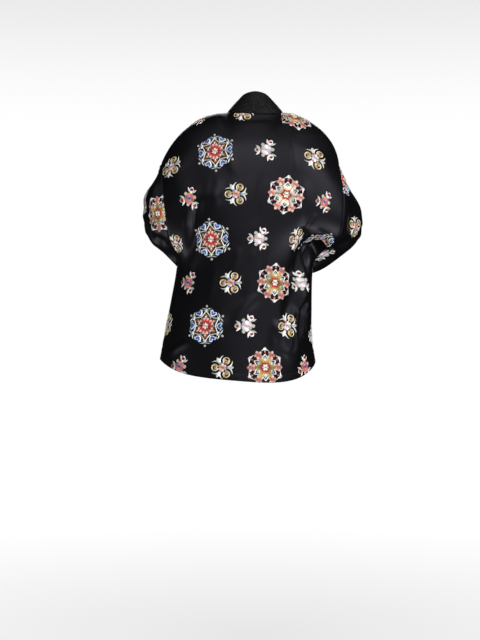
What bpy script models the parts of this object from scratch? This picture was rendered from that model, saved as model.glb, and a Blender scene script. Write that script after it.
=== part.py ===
"""Hip-length satin coat with medallion embroidery, in the hollow form it takes when worn.

Metres, +Z up. The fronts face -Y, and the coat's own left is +X. The origin lies between the shoulders,
level with the neck points, where the coat is carried. Each cut piece is a thin closed wall of cloth.
"""

import math

import bmesh
import bpy
import numpy as np

# Driving sizes: the flat cut
BACK_HALF = 0.310  # centre back to the armhole and side seams
NECK_HALF = 0.090  # centre back to the neck point, and the width cut out between the fronts
NECK_SCOOP = 0.070  # how far the back neckline lies below the line through the neck points
SHOULDER_DROP = 0.130  # how far the shoulder seam falls from the neck point to the armhole
UNDERARM = 0.530  # level of the underarm below the neck points, along the cloth
BODY_LENGTH = 0.843  # neck points to the hem at centre back, along the cloth
HEM_RISE = 0.051  # how much shorter the curved hem is at the side seams
HEM_TILT = 0.009  # how much higher the left half of the hem hangs, and how much lower the right
SLEEVE_LENGTH = 0.450  # armhole to cuff
BAND_WIDTH = 0.068  # neckband, seam to free edge

# Cloth thicknesses and seams
CLOTH = 0.0016
BAND_CLOTH = 0.0024
SEAM_GAP = 0.0003

# Mesh divisions
SHOULDER_PARTS = 15
NECK_PARTS = 10
ARMHOLE_PARTS = 17
SKIRT_PARTS = 16
SLEEVE_PARTS = 16
BAND_PARTS = 3


def table(columns, *rows):
    """A short table as a dictionary of columns."""
    return dict(zip(columns.split(), np.array(rows, float).T))


# Level sections of the body, by their fall along the cloth. turn is the half angle, in degrees, that a
# section bends through between its middle and its side edge.
BACK = table(
    "fall    turn   x       y       z",
    (0.170, 45.0, 0.006, 0.122, -0.090),
    (0.290, 45.0, 0.009, 0.144, -0.208),
    (0.410, 55.0, 0.015, 0.150, -0.327),
    (0.530, 88.0, 0.026, 0.154, -0.446),
    (0.640, 90.0, 0.038, 0.164, -0.555),
    (0.745, 90.0, 0.047, 0.175, -0.659),
    (0.843, 90.0, 0.050, 0.184, -0.756),
)
FRONT = table(
    "fall    turn   x       y       z",
    (0.170, 50.0, 0.006, -0.102, -0.124),
    (0.290, 50.0, 0.009, -0.134, -0.222),
    (0.410, 58.0, 0.015, -0.144, -0.332),
    (0.530, 88.0, 0.026, -0.147, -0.446),
    (0.640, 90.0, 0.038, -0.152, -0.555),
    (0.745, 90.0, 0.047, -0.158, -0.659),
    (0.843, 90.0, 0.050, -0.164, -0.752),
)

# Side edges of the same sections: the armhole down to the underarm, then the side seam. The back and the
# front have an edge of the armhole each, and share the side seam. The first row is the shoulder end.
LEFT_SIDE = table(
    "fall    back_x  back_y   front_x  front_y  z",
    (0.130, 0.268, 0.004, 0.268, 0.004, -0.146),
    (0.170, 0.266, 0.038, 0.263, -0.038, -0.164),
    (0.290, 0.256, 0.092, 0.244, -0.102, -0.252),
    (0.410, 0.243, 0.090, 0.232, -0.099, -0.352),
    (0.530, 0.222, 0.004, 0.222, 0.004, -0.438),
    (0.640, 0.242, 0.004, 0.242, 0.004, -0.548),
    (0.745, 0.262, 0.004, 0.262, 0.004, -0.653),
    (0.792, 0.270, 0.004, 0.270, 0.004, -0.702),
)
RIGHT_SIDE = table(
    "fall    back_x  back_y   front_x  front_y  z",
    (0.130, -0.239, 0.004, -0.239, 0.004, -0.148),
    (0.170, -0.240, 0.038, -0.238, -0.038, -0.167),
    (0.290, -0.246, 0.092, -0.232, -0.102, -0.262),
    (0.410, -0.232, 0.096, -0.214, -0.099, -0.358),
    (0.530, -0.164, 0.004, -0.164, 0.004, -0.440),
    (0.640, -0.161, 0.004, -0.161, 0.004, -0.548),
    (0.745, -0.163, 0.004, -0.163, 0.004, -0.653),
    (0.792, -0.171, 0.004, -0.171, 0.004, -0.708),
)
UNDERARM_ROW = 4

# Shoulder line and neckline
NECK_POINT_X = 0.080
NECK_POINT_Z = 0.001
NECK_BACK_Y = 0.068
NECK_BACK_Z = -0.010
LEFT_SHOULDER_TURN = 60.0  # degrees that a shoulder line bends through, seen from behind
RIGHT_SHOULDER_TURN = 85.0
LEFT_SHOULDER_POWER = 1.88  # how late a shoulder line falls away from the neck
RIGHT_SHOULDER_POWER = 1.58
EDGE_FALL_POWER = 3.0  # how late a section falls away towards the armhole

# Sleeve rings, in upright planes. along is the cut's length from the armhole, out_x and out_y the side of
# the ring that faces away from the body, in_x and in_y the side in the crook of the sleeve, and pinch how
# much narrower it hangs at the bottom.
LEFT_SLEEVE = table(
    "along   out_x   out_y    in_x    in_y     top      bottom   pinch",
    (0.090, 0.303, 0.082, 0.248, -0.115, -0.188, -0.386, 0.25),
    (0.180, 0.331, 0.004, 0.240, -0.136, -0.224, -0.372, 0.40),
    (0.270, 0.298, -0.108, 0.206, -0.163, -0.256, -0.390, 0.35),
    (0.360, 0.238, -0.198, 0.160, -0.186, -0.292, -0.420, 0.35),
    (0.450, 0.162, -0.278, 0.098, -0.220, -0.312, -0.442, 0.25),
)
RIGHT_SLEEVE = table(
    "along   out_x   out_y    in_x    in_y     top      bottom   pinch",
    (0.090, -0.274, 0.062, -0.236, -0.115, -0.198, -0.397, 0.25),
    (0.180, -0.319, -0.012, -0.230, -0.138, -0.252, -0.380, 0.40),
    (0.270, -0.298, -0.104, -0.198, -0.163, -0.278, -0.402, 0.35),
    (0.360, -0.236, -0.196, -0.154, -0.186, -0.304, -0.441, 0.35),
    (0.450, -0.162, -0.278, -0.096, -0.220, -0.324, -0.462, 0.25),
)
SLEEVE_HALF_GIRTH = 0.300  # round the upper sleeve, top to underarm

# Lean of the neckband's free edge, as inward, forward and upward shares
BAND_LEAN_BACK = (0.0, 0.30, 0.954)
BAND_LEAN_SIDE = (0.68, 0.0, 0.73)
BAND_FLAT_FALL = 0.210  # below this the band lies flat, in line with the front

# Largest folds, in cut coordinates. On the body these are the distance across from the middle, with the
# left positive, and the fall. On a sleeve they are the length from the armhole and the distance round from
# the top, with the back positive. height is positive on a ridge and negative in a trough.
BACK_FOLDS = table(
    "across   fall    to_across  to_fall  half_width  height",
    (0.165, 0.300, 0.200, 0.500, 0.026, -0.009),
    (-0.205, 0.430, -0.160, 0.570, 0.026, -0.014),
    (-0.180, 0.492, -0.300, 0.456, 0.034, -0.022),
    (-0.222, 0.530, -0.195, 0.640, 0.028, 0.008),
    (-0.215, 0.570, -0.150, 0.800, 0.028, 0.010),
    (-0.160, 0.580, -0.095, 0.780, 0.030, -0.008),
)
FRONT_FOLDS = table(
    "across   fall    to_across  to_fall  half_width  height",
    (0.225, 0.420, 0.190, 0.820, 0.032, -0.010),
    (0.160, 0.380, 0.140, 0.820, 0.032, 0.008),
    (-0.220, 0.440, -0.200, 0.820, 0.032, -0.010),
    (-0.165, 0.360, -0.145, 0.820, 0.034, 0.008),
)
SLEEVE_FOLDS = table(
    "along    round   to_along   to_round  half_width  height",
    (0.060, 0.175, 0.190, 0.105, 0.026, -0.009),
    (0.250, 0.060, 0.330, 0.230, 0.026, -0.006),
)


def smooth_step(x):
    x = np.clip(x, 0.0, 1.0)
    return x * x * (3.0 - 2.0 * x)


def unit(vectors):
    return vectors / np.linalg.norm(vectors, axis=-1, keepdims=True)


def spline_slopes(knots, points):
    """Slopes of a smooth curve through each place's points, and of the straight lines between them."""
    gaps = np.diff(knots, axis=0)[..., None]
    straight = np.diff(points, axis=0) / gaps
    middle = (gaps[:-1] * straight[1:] + gaps[1:] * straight[:-1]) / (gaps[:-1] + gaps[1:])
    return np.concatenate([straight[:1], middle, straight[-1:]]), straight


def hermite(knots, points, tangents, at):
    """Cubic curves, one for each place, through rows of points at rows of knots."""
    row = np.clip((at[None] >= knots[1:-1]).sum(axis=0), 0, len(knots) - 2)
    places = np.arange(len(at))
    start, end = knots[row, places], knots[row + 1, places]
    gap = (end - start)[:, None]
    x = ((at - start) / (end - start))[:, None]
    here, there = points[row, places], points[row + 1, places]
    leave, arrive = tangents[row, places], tangents[row + 1, places]
    return (
        (1 + 2 * x) * (1 - x) ** 2 * here
        + x * (1 - x) ** 2 * gap * leave
        + x * x * (3 - 2 * x) * there
        - x * x * (1 - x) * gap * arrive
    )


def side_points(share, row, half):
    """The side edge of the back or front half. share runs from -1 at the right to 1 at the left."""
    names = (half + "_x", half + "_y", "z")
    left = [LEFT_SIDE[name][row] for name in names]
    right = [RIGHT_SIDE[name][row] for name in names]
    return np.where(share[:, None] >= 0, left, right)


def top_fall(share):
    """Fall, along the cloth, of the shoulder seam and the back neckline."""
    neck = NECK_HALF / BACK_HALF
    along = np.abs(share)
    shoulder = SHOULDER_DROP * (along - neck) / (1 - neck)
    scoop = NECK_SCOOP * np.cos(np.clip(along / neck, 0, 1) * math.pi / 2)
    return np.where(along >= neck, shoulder, scoop)


def hem_curve(share):
    """The hem's curve, from 0 at the middle to 1 at the side seams."""
    return (1 - np.cos(math.pi * np.abs(share) ** 1.7)) / 2


def hem_tilt(share):
    return HEM_TILT * np.sin(math.pi * share)


def hem_fall(share):
    """Fall of the hem, along the cloth."""
    return BODY_LENGTH - HEM_RISE * hem_curve(share) - hem_tilt(share)


def top_line(share):
    """The shoulder line and the back neckline, in space."""
    neck = NECK_HALF / BACK_HALF
    along = np.abs(share)
    sign = np.where(share >= 0, 1.0, -1.0)
    end = side_points(share, 0, "back")
    turn = np.radians(np.where(share >= 0, LEFT_SHOULDER_TURN, RIGHT_SHOULDER_TURN))
    power = np.where(share >= 0, LEFT_SHOULDER_POWER, RIGHT_SHOULDER_POWER)
    down = np.clip((along - neck) / (1 - neck), 0, 1)
    shoulder_x = NECK_POINT_X + (np.abs(end[:, 0]) - NECK_POINT_X) * np.sin(turn * down) / np.sin(turn)
    shoulder_z = NECK_POINT_Z + (end[:, 2] - NECK_POINT_Z) * down**power
    shoulder = np.stack([sign * shoulder_x, end[:, 1], shoulder_z], axis=-1)
    angle = np.clip(along / neck, 0, 1) * math.pi / 2
    neckline = np.stack(
        [
            sign * NECK_POINT_X * np.sin(angle),
            end[:, 1] + (NECK_BACK_Y - end[:, 1]) * np.cos(angle),
            NECK_POINT_Z + (NECK_BACK_Z - NECK_POINT_Z) * np.cos(angle),
        ],
        axis=-1,
    )
    return np.where((along >= neck)[:, None], shoulder, neckline)


def body_section(share, data, row, half):
    """One level section of the back or the fronts, by each place's share of the way to the side."""
    edge = side_points(share, row + 1, half)
    middle = [data[name][row] for name in "xyz"]
    turn = math.radians(data["turn"][row])
    along = np.abs(share)
    out = np.sin(turn * along) / math.sin(turn)
    deep = (np.cos(turn * along) - math.cos(turn)) / (1 - math.cos(turn))
    is_hem = row == len(data["fall"]) - 1
    low = hem_curve(share) if is_hem else along**EDGE_FALL_POWER
    return np.stack(
        [
            middle[0] + (edge[:, 0] - middle[0]) * out,
            edge[:, 1] + (middle[1] - edge[:, 1]) * deep,
            middle[2] + (edge[:, 2] - middle[2]) * low + is_hem * hem_tilt(share),
        ],
        axis=-1,
    )


def body_cloth(data, half):
    """The surface of the back or the fronts: cut coordinates to points in space."""
    over_shoulder = np.array([0.0, 1.0 if half == "back" else -1.0, -0.04])

    def surface(across, fall):
        share = across / BACK_HALF
        sections = [body_section(share, data, row, half) for row in range(len(data["fall"]))]
        levels = [np.full_like(share, level) for level in data["fall"][:-1]]
        knots = np.stack([top_fall(share), *levels, hem_fall(share)])
        points = np.stack([top_line(share), *sections])
        tangents, straight = spline_slopes(knots, points)
        on_shoulder = smooth_step((np.abs(share) - NECK_HALF / BACK_HALF + 0.1) / 0.2)[:, None]
        tangents[0] += on_shoulder * (over_shoulder - tangents[0])
        at_side = (np.abs(share) ** 8)[:, None]
        tangents[UNDERARM_ROW] += at_side * (straight[UNDERARM_ROW] - tangents[UNDERARM_ROW])
        return hermite(knots, points, tangents, fall)

    return surface


def normals_of(surface, first, second, facing, step=0.002):
    one = surface(first + step, second) - surface(first - step, second)
    two = surface(first, second + step) - surface(first, second - step)
    return facing * unit(np.cross(one, two))


def fold_heights(folds, across, fall):
    """Sum of the folds: soft ridges and troughs that fade out at both ends."""
    total = np.zeros_like(across)
    for x, y, to_x, to_y, half_width, height in zip(*folds.values()):
        run_x, run_y = to_x - x, to_y - y
        length = math.hypot(run_x, run_y)
        along = ((across - x) * run_x + (fall - y) * run_y) / length**2
        aside = ((across - x) * run_y - (fall - y) * run_x) / length
        fade = smooth_step((along + 0.15) / 0.4) * smooth_step((1.15 - along) / 0.4)
        total += height * fade * np.exp(-((aside / half_width) ** 2))
    return total


def folded(surface, folds, facing, edge_fade):
    """The surface with its folds, which flatten out towards the sewn edges."""

    def shaped(across, fall):
        heights = fold_heights(folds, across, fall) * edge_fade(across, fall)
        return surface(across, fall) + heights[:, None] * normals_of(surface, across, fall, facing)

    return shaped


def seam_fade(across, fall, reach=0.045):
    """0 on the shoulder, armhole and side seams, 1 away from them."""
    to_side = (BACK_HALF - np.abs(across)) / reach
    to_top = (fall - top_fall(across / BACK_HALF)) / reach
    return smooth_step(to_side) * smooth_step(to_top)


back_cloth = folded(body_cloth(BACK, "back"), BACK_FOLDS, 1.0, seam_fade)
front_cloth = folded(body_cloth(FRONT, "front"), FRONT_FOLDS, -1.0, seam_fade)


def cut_rows(share):
    """Fall of each row of a body panel, from the shoulder or neckline through the underarm to the hem."""
    down = np.linspace(0, 1, ARMHOLE_PARTS + 1)[:, None]
    low = np.linspace(0, 1, SKIRT_PARTS + 1)[1:, None]
    upper = top_fall(share) + (UNDERARM - top_fall(share)) * down
    lower = UNDERARM + (hem_fall(share) - UNDERARM) * low
    return np.concatenate([upper, lower])


def sampled(surface, first, second):
    """A grid of points from grids of cut coordinates."""
    return surface(first.ravel(), second.ravel()).reshape(*first.shape, 3)


def shoulder_shares():
    return np.linspace(NECK_HALF / BACK_HALF, 1, SHOULDER_PARTS + 1)


def back_grid():
    neck = NECK_HALF / BACK_HALF
    shoulder = shoulder_shares()
    share = np.concatenate([shoulder[::-1], np.linspace(neck, -neck, NECK_PARTS + 1)[1:-1], -shoulder])
    fall = cut_rows(share)
    return sampled(back_cloth, np.broadcast_to(share * BACK_HALF, fall.shape), fall)


def front_grid(side):
    """A front, from its side seam to its front edge. side is 1 on the left and -1 on the right."""
    share = side * shoulder_shares()[::-1]
    fall = cut_rows(share)
    return sampled(front_cloth, np.broadcast_to(share * BACK_HALF, fall.shape), fall)


def sleeve_ring(data, row, turn):
    """An upright ring of a sleeve. turn runs from -1 at the underarm, over the top at 0, to 1."""
    angle = turn * math.pi
    ring = {name: values[row] for name, values in data.items()}
    hang = 1 - ring["pinch"] * (1 - np.cos(angle)) / 2
    aside = np.sin(angle) * hang / 2
    return np.stack(
        [
            (ring["out_x"] + ring["in_x"]) / 2 + (ring["out_x"] - ring["in_x"]) * aside,
            (ring["out_y"] + ring["in_y"]) / 2 + (ring["out_y"] - ring["in_y"]) * aside,
            (ring["top"] + ring["bottom"]) / 2 + (ring["top"] - ring["bottom"]) / 2 * np.cos(angle),
        ],
        axis=-1,
    )


def armhole(side, turn):
    """The armhole seam, by the same turn as the sleeve's rings, and the way the body's cloth leaves it."""
    fall = SHOULDER_DROP + (UNDERARM - SHOULDER_DROP) * np.abs(turn)
    edge = np.full_like(turn, side * BACK_HALF)
    inside = edge - side * 0.004
    back, front = back_cloth(edge, fall), front_cloth(edge, fall)
    leave = np.where(
        (turn >= 0)[:, None],
        back - back_cloth(inside, fall),
        front - front_cloth(inside, fall),
    )
    return np.where((turn >= 0)[:, None], back, front), unit(leave)


def sleeve_cloth(data, side):
    """The surface of a sleeve: length from the armhole and distance round the top to points in space."""

    def surface(along, around):
        turn = around / SLEEVE_HALF_GIRTH
        seam, leave = armhole(side, turn)
        rings = [sleeve_ring(data, row, turn) for row in range(len(data["along"]))]
        points = np.stack([seam, *rings])
        knots = np.repeat(np.array([0.0, *data["along"]])[:, None], len(turn), axis=1)
        tangents, straight = spline_slopes(knots, points)
        joined = smooth_step(1.4 * (1 - turn) * (turn > 0) + (1 + 5 * turn) * (turn <= 0))[:, None]
        pace = np.linalg.norm(straight[0], axis=-1, keepdims=True)
        tangents[0] = joined * pace * leave + (1 - joined) * straight[0]
        return hermite(knots, points, tangents, along)

    def armhole_fade(along, around):
        return smooth_step(along / 0.05)

    return folded(surface, SLEEVE_FOLDS, side, armhole_fade)


def sleeve_grid(data, side):
    """Rings from the armhole to the cuff, each from the underarm up the front and down the back."""
    turn = np.linspace(-1, 1, 2 * ARMHOLE_PARTS + 1)[:-1]
    along = np.linspace(0, SLEEVE_LENGTH, SLEEVE_PARTS + 1)
    lengths, around = np.meshgrid(along, turn * SLEEVE_HALF_GIRTH, indexing="ij")
    return sampled(sleeve_cloth(data, side), lengths, around)


def band_stations(back, left, right):
    """The neckband's seam, from the left hem round the neck to the right hem, and its lean."""
    neck = slice(SHOULDER_PARTS, SHOULDER_PARTS + NECK_PARTS + 1)
    neckline = back[0, neck]
    angle = np.linspace(1, -1, NECK_PARTS + 1) * math.pi / 2
    inward = BAND_LEAN_SIDE[0] * np.sin(angle)
    forward = BAND_LEAN_BACK[1] * np.cos(angle)
    upward = BAND_LEAN_SIDE[2] + (BAND_LEAN_BACK[2] - BAND_LEAN_SIDE[2]) * np.cos(angle)
    neck_lean = unit(np.stack([-inward, -forward, upward], axis=-1))

    def front_lean(front, side):
        flat = unit(front[:, -1] - front[:, -2])
        fall = cut_rows(np.array([side * NECK_HALF / BACK_HALF]))[:, 0]
        stands = (1 - smooth_step(fall / BAND_FLAT_FALL))[:, None]
        upright = np.array([-side * BAND_LEAN_SIDE[0], 0.0, BAND_LEAN_SIDE[2]])
        return unit(flat * (1 - stands) + upright * stands)

    seam = np.concatenate([left[::-1, -1], neckline[1:-1], right[:, -1]])
    lean = np.concatenate([front_lean(left, 1)[::-1], neck_lean[1:-1], front_lean(right, -1)])
    return seam, lean


def band_grid(back, left, right):
    seam, lean = band_stations(back, left, right)
    share = np.linspace(0, BAND_WIDTH, BAND_PARTS + 1)[:, None, None]
    return seam + share * lean


def differences(line, closed):
    if closed:
        return np.roll(line, -1, axis=0) - np.roll(line, 1, axis=0)
    return np.gradient(line, axis=0)


def grid_normals(grid, closed):
    """Normals of a grid of points, from the differences along its rows and columns."""
    across = np.swapaxes(differences(np.swapaxes(grid, 0, 1), closed), 0, 1)
    return unit(np.cross(np.gradient(grid, axis=0), across))


def inset(grid, closed):
    """The grid with its edges drawn in, square to themselves, by half a seam gap."""
    moved = grid.copy()
    for axis in (0,) if closed else (0, 1):
        lines = np.swapaxes(grid, 0, axis)
        target = np.swapaxes(moved, 0, axis)
        for edge, inner in ((0, 1), (-1, -2)):
            along = unit(differences(lines[edge], closed))
            inward = lines[inner] - lines[edge]
            inward -= (inward * along).sum(axis=-1, keepdims=True) * along
            target[edge] += SEAM_GAP / 2 * unit(inward)
    return moved


def shared_normals(pieces):
    """Each piece's normals. Pieces that meet at a seam share one there, so that their edges stay apart."""
    sums = {}
    found = {}
    for name, (grid, facing, closed) in pieces.items():
        found[name] = facing * grid_normals(grid, closed)
        for point, normal in zip(np.round(grid, 5).reshape(-1, 3), found[name].reshape(-1, 3)):
            key = tuple(point)
            sums[key] = sums.get(key, 0) + normal
    for name, (grid, facing, closed) in pieces.items():
        keys = map(tuple, np.round(grid, 5).reshape(-1, 3))
        found[name] = unit(np.array([sums[key] for key in keys])).reshape(grid.shape)
    return found


def cloth_material(name, colour, roughness):
    material = bpy.data.materials.new(name)
    material.use_nodes = True
    shader = material.node_tree.nodes["Principled BSDF"]
    shader.inputs["Base Color"].default_value = (*colour, 1.0)
    shader.inputs["Roughness"].default_value = roughness
    shader.inputs["Metallic"].default_value = 0.0
    return material


def cloth_wall(name, grid, normals, thickness, closed, material):
    """A closed wall of cloth: a sheet laid on the grid's points, and extruded inwards."""
    rows, columns = grid.shape[:2]
    bm = bmesh.new()
    made = bmesh.ops.create_grid(bm, x_segments=rows - 1, y_segments=columns - 1 + closed, size=1.0)
    outer = inset(grid, closed)
    placed = {}
    for vertex in made["verts"]:
        row = round((vertex.co.x + 1) / 2 * (rows - 1))
        place = round((vertex.co.y + 1) / 2 * (columns - 1 + closed)) % columns
        placed[vertex] = (row, place)
    for vertex, where in placed.items():
        vertex.co = outer[where]
    inward = {}
    for vertex, where in placed.items():
        inward[tuple(vertex.co)] = normals[where]
    if closed:
        bmesh.ops.remove_doubles(bm, verts=bm.verts, dist=1e-6)
    copied = bmesh.ops.extrude_face_region(bm, geom=bm.faces[:], use_keep_orig=True)
    for vertex in copied["geom"]:
        if isinstance(vertex, bmesh.types.BMVert):
            vertex.co = np.array(vertex.co) - thickness * inward[tuple(vertex.co)]
    bmesh.ops.recalc_face_normals(bm, faces=bm.faces)
    mesh = bpy.data.meshes.new(name)
    bm.to_mesh(mesh)
    bm.free()
    mesh.shade_smooth()
    mesh.set_sharp_from_angle(angle=math.radians(50))
    mesh.materials.append(material)
    wall = bpy.data.objects.new(name, mesh)
    bpy.context.scene.collection.objects.link(wall)
    return wall


def main():
    for old in list(bpy.data.objects):
        bpy.data.objects.remove(old)
    satin = cloth_material("black_satin", (0.010, 0.010, 0.012), 0.42)
    jacquard = cloth_material("black_jacquard", (0.013, 0.013, 0.015), 0.60)
    back, left, right = back_grid(), front_grid(1), front_grid(-1)
    pieces = {
        "back": (back, 1.0, 0),
        "front_left": (left, -1.0, 0),
        "front_right": (right, 1.0, 0),
        "sleeve_left": (sleeve_grid(LEFT_SLEEVE, 1), 1.0, 1),
        "sleeve_right": (sleeve_grid(RIGHT_SLEEVE, -1), -1.0, 1),
        "neckband": (band_grid(back, left, right), -1.0, 0),
    }
    normals = shared_normals(pieces)
    for name, (grid, facing, closed) in pieces.items():
        is_band = name == "neckband"
        material = jacquard if is_band else satin
        thickness = BAND_CLOTH if is_band else CLOTH
        cloth_wall(name, grid, normals[name], thickness, closed, material)


main()
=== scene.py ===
"""Looks of the hip-length satin coat: cloth on a grid, embroidery, sewing, finishes and studio.

Metres, +Z up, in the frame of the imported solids. The fronts face -Y, and the coat's own left is +X.
"""

import functools
import math

import bmesh
import bpy
import numpy as np
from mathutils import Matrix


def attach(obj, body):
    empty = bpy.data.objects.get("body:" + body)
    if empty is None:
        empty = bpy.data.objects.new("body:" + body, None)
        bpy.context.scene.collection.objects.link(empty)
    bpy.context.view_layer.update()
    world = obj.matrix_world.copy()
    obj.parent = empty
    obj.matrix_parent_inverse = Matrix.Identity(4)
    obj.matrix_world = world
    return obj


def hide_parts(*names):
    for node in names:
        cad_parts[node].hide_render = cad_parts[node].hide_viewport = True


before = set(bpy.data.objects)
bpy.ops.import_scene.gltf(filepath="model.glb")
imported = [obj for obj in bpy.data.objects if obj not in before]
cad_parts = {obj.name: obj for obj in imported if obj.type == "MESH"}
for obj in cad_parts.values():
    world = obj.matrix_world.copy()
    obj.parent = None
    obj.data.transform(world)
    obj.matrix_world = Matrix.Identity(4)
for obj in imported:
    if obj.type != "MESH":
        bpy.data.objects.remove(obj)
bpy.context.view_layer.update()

# Camera and stage
CAMERA_PLACE = (0.043, 4.0, -0.59)
CAMERA_DISTANCE = 4.0
VIEW_HEIGHT = 1.824  # height of the view at the origin's distance
FLOOR_LEVEL = -1.49

# Driving sizes of the flat cut, as in the solids
BACK_HALF = 0.310  # centre back to the armhole and side seams
NECK_HALF = 0.090  # centre back to the neck point, and the width cut out between the fronts
NECK_SCOOP = 0.070
SHOULDER_DROP = 0.130
UNDERARM = 0.530
BODY_LENGTH = 0.843
HEM_RISE = 0.051
HEM_TILT = 0.009
SLEEVE_LENGTH = 0.450
SLEEVE_HALF_GIRTH = 0.300
BAND_WIDTH = 0.068
CLOTH = 0.0016
BAND_CLOTH = 0.0024


def table(columns, *rows):
    """A short table as a dictionary of columns."""
    return dict(zip(columns.split(), np.array(rows, float).T))


# Level sections of the body, by their fall along the cloth. turn is the half angle, in degrees,
# that a section bends through between its middle and its side edge.
BACK = table(
    "fall    turn   x       y       z",
    (0.170, 45.0, 0.006, 0.122, -0.090),
    (0.290, 45.0, 0.009, 0.144, -0.208),
    (0.410, 55.0, 0.015, 0.150, -0.327),
    (0.530, 88.0, 0.026, 0.154, -0.446),
    (0.640, 90.0, 0.038, 0.164, -0.555),
    (0.745, 90.0, 0.047, 0.175, -0.659),
    (0.843, 90.0, 0.050, 0.184, -0.756),
)
FRONT = table(
    "fall    turn   x       y       z",
    (0.170, 50.0, 0.006, -0.102, -0.124),
    (0.290, 50.0, 0.009, -0.134, -0.222),
    (0.410, 58.0, 0.015, -0.144, -0.332),
    (0.530, 88.0, 0.026, -0.147, -0.446),
    (0.640, 90.0, 0.038, -0.152, -0.555),
    (0.745, 90.0, 0.047, -0.158, -0.659),
    (0.843, 90.0, 0.050, -0.164, -0.752),
)

# Side edges of the same sections: the armhole down to the underarm, then the side seam
LEFT_SIDE = table(
    "fall    back_x  back_y   front_x  front_y  z",
    (0.130, 0.268, 0.004, 0.268, 0.004, -0.146),
    (0.170, 0.266, 0.038, 0.263, -0.038, -0.164),
    (0.290, 0.256, 0.092, 0.244, -0.102, -0.252),
    (0.410, 0.243, 0.090, 0.232, -0.099, -0.352),
    (0.530, 0.222, 0.004, 0.222, 0.004, -0.438),
    (0.640, 0.242, 0.004, 0.242, 0.004, -0.548),
    (0.745, 0.262, 0.004, 0.262, 0.004, -0.653),
    (0.792, 0.270, 0.004, 0.270, 0.004, -0.702),
)
RIGHT_SIDE = table(
    "fall    back_x  back_y   front_x  front_y  z",
    (0.130, -0.239, 0.004, -0.239, 0.004, -0.148),
    (0.170, -0.240, 0.038, -0.238, -0.038, -0.167),
    (0.290, -0.246, 0.092, -0.232, -0.102, -0.262),
    (0.410, -0.232, 0.096, -0.214, -0.099, -0.358),
    (0.530, -0.164, 0.004, -0.164, 0.004, -0.440),
    (0.640, -0.161, 0.004, -0.161, 0.004, -0.548),
    (0.745, -0.163, 0.004, -0.163, 0.004, -0.653),
    (0.792, -0.171, 0.004, -0.171, 0.004, -0.708),
)
UNDERARM_ROW = 4

# Shoulder line and neckline
NECK_POINT_X = 0.080
NECK_POINT_Z = 0.001
NECK_BACK_Y = 0.068
NECK_BACK_Z = -0.010
LEFT_SHOULDER_TURN = 60.0
RIGHT_SHOULDER_TURN = 85.0
LEFT_SHOULDER_POWER = 1.88
RIGHT_SHOULDER_POWER = 1.58
EDGE_FALL_POWER = 3.0
HEM_POWER = 1.7
SHOULDER_WAY = (1.0, -0.04)  # outward and upward, as the cloth leaves the shoulder seam
SHOULDER_BLEND = 0.1  # share of the half width, each side of the neck point, where it comes in
UNDERARM_POWER = 8  # how closely the cloth's corner at the underarm keeps to the side edge

# Sleeve rings, in upright planes, from the armhole to the cuff
LEFT_SLEEVE = table(
    "along   out_x   out_y    in_x    in_y     top      bottom   pinch",
    (0.090, 0.303, 0.082, 0.248, -0.115, -0.188, -0.386, 0.25),
    (0.180, 0.331, 0.004, 0.240, -0.136, -0.224, -0.372, 0.40),
    (0.270, 0.298, -0.108, 0.206, -0.163, -0.256, -0.390, 0.35),
    (0.360, 0.238, -0.198, 0.160, -0.186, -0.292, -0.420, 0.35),
    (0.450, 0.162, -0.278, 0.098, -0.220, -0.312, -0.442, 0.25),
)
RIGHT_SLEEVE = table(
    "along   out_x   out_y    in_x    in_y     top      bottom   pinch",
    (0.090, -0.274, 0.062, -0.236, -0.115, -0.198, -0.397, 0.25),
    (0.180, -0.319, -0.012, -0.230, -0.138, -0.252, -0.380, 0.40),
    (0.270, -0.298, -0.104, -0.198, -0.163, -0.278, -0.402, 0.35),
    (0.360, -0.236, -0.196, -0.154, -0.186, -0.304, -0.441, 0.35),
    (0.450, -0.162, -0.278, -0.096, -0.220, -0.324, -0.462, 0.25),
)

# How soon a sleeve's cloth stops following the body's, behind and before its top
SLEEVE_BLEND_BEHIND = 1.4
SLEEVE_BLEND_BEFORE = 5
ARMHOLE_STATIONS = 801

# Lean of the neckband: forward and upward shares at centre back, inward and upward ones at the sides
BAND_BACK_FORWARD = 0.30
BAND_BACK_UP = 0.954
BAND_SIDE_IN = 0.68
BAND_SIDE_UP = 0.73
BAND_FLAT_FALL = 0.210  # fall down the fronts at which the band lies flat
NECKLINE_HALF = 0.114  # neck point to centre back, along the neckline

# Largest folds, in cut coordinates, which the solids have too
FOLD_COLUMNS = "first   second   to_first  to_second  half_width  height"
BACK_FOLDS = table(
    FOLD_COLUMNS,
    (0.165, 0.300, 0.200, 0.500, 0.026, -0.009),
    (-0.205, 0.430, -0.160, 0.570, 0.026, -0.014),
    (-0.180, 0.492, -0.300, 0.456, 0.034, -0.022),
    (-0.222, 0.530, -0.195, 0.640, 0.028, 0.008),
    (-0.215, 0.570, -0.150, 0.800, 0.028, 0.010),
    (-0.160, 0.580, -0.095, 0.780, 0.030, -0.008),
)
FRONT_FOLDS = table(
    FOLD_COLUMNS,
    (0.225, 0.420, 0.190, 0.820, 0.032, -0.010),
    (0.160, 0.380, 0.140, 0.820, 0.032, 0.008),
    (-0.220, 0.440, -0.200, 0.820, 0.032, -0.010),
    (-0.165, 0.360, -0.145, 0.820, 0.034, 0.008),
)
SLEEVE_FOLDS = table(
    FOLD_COLUMNS,
    (0.060, 0.175, 0.190, 0.105, 0.026, -0.009),
    (0.250, 0.060, 0.330, 0.230, 0.026, -0.006),
)

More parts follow.
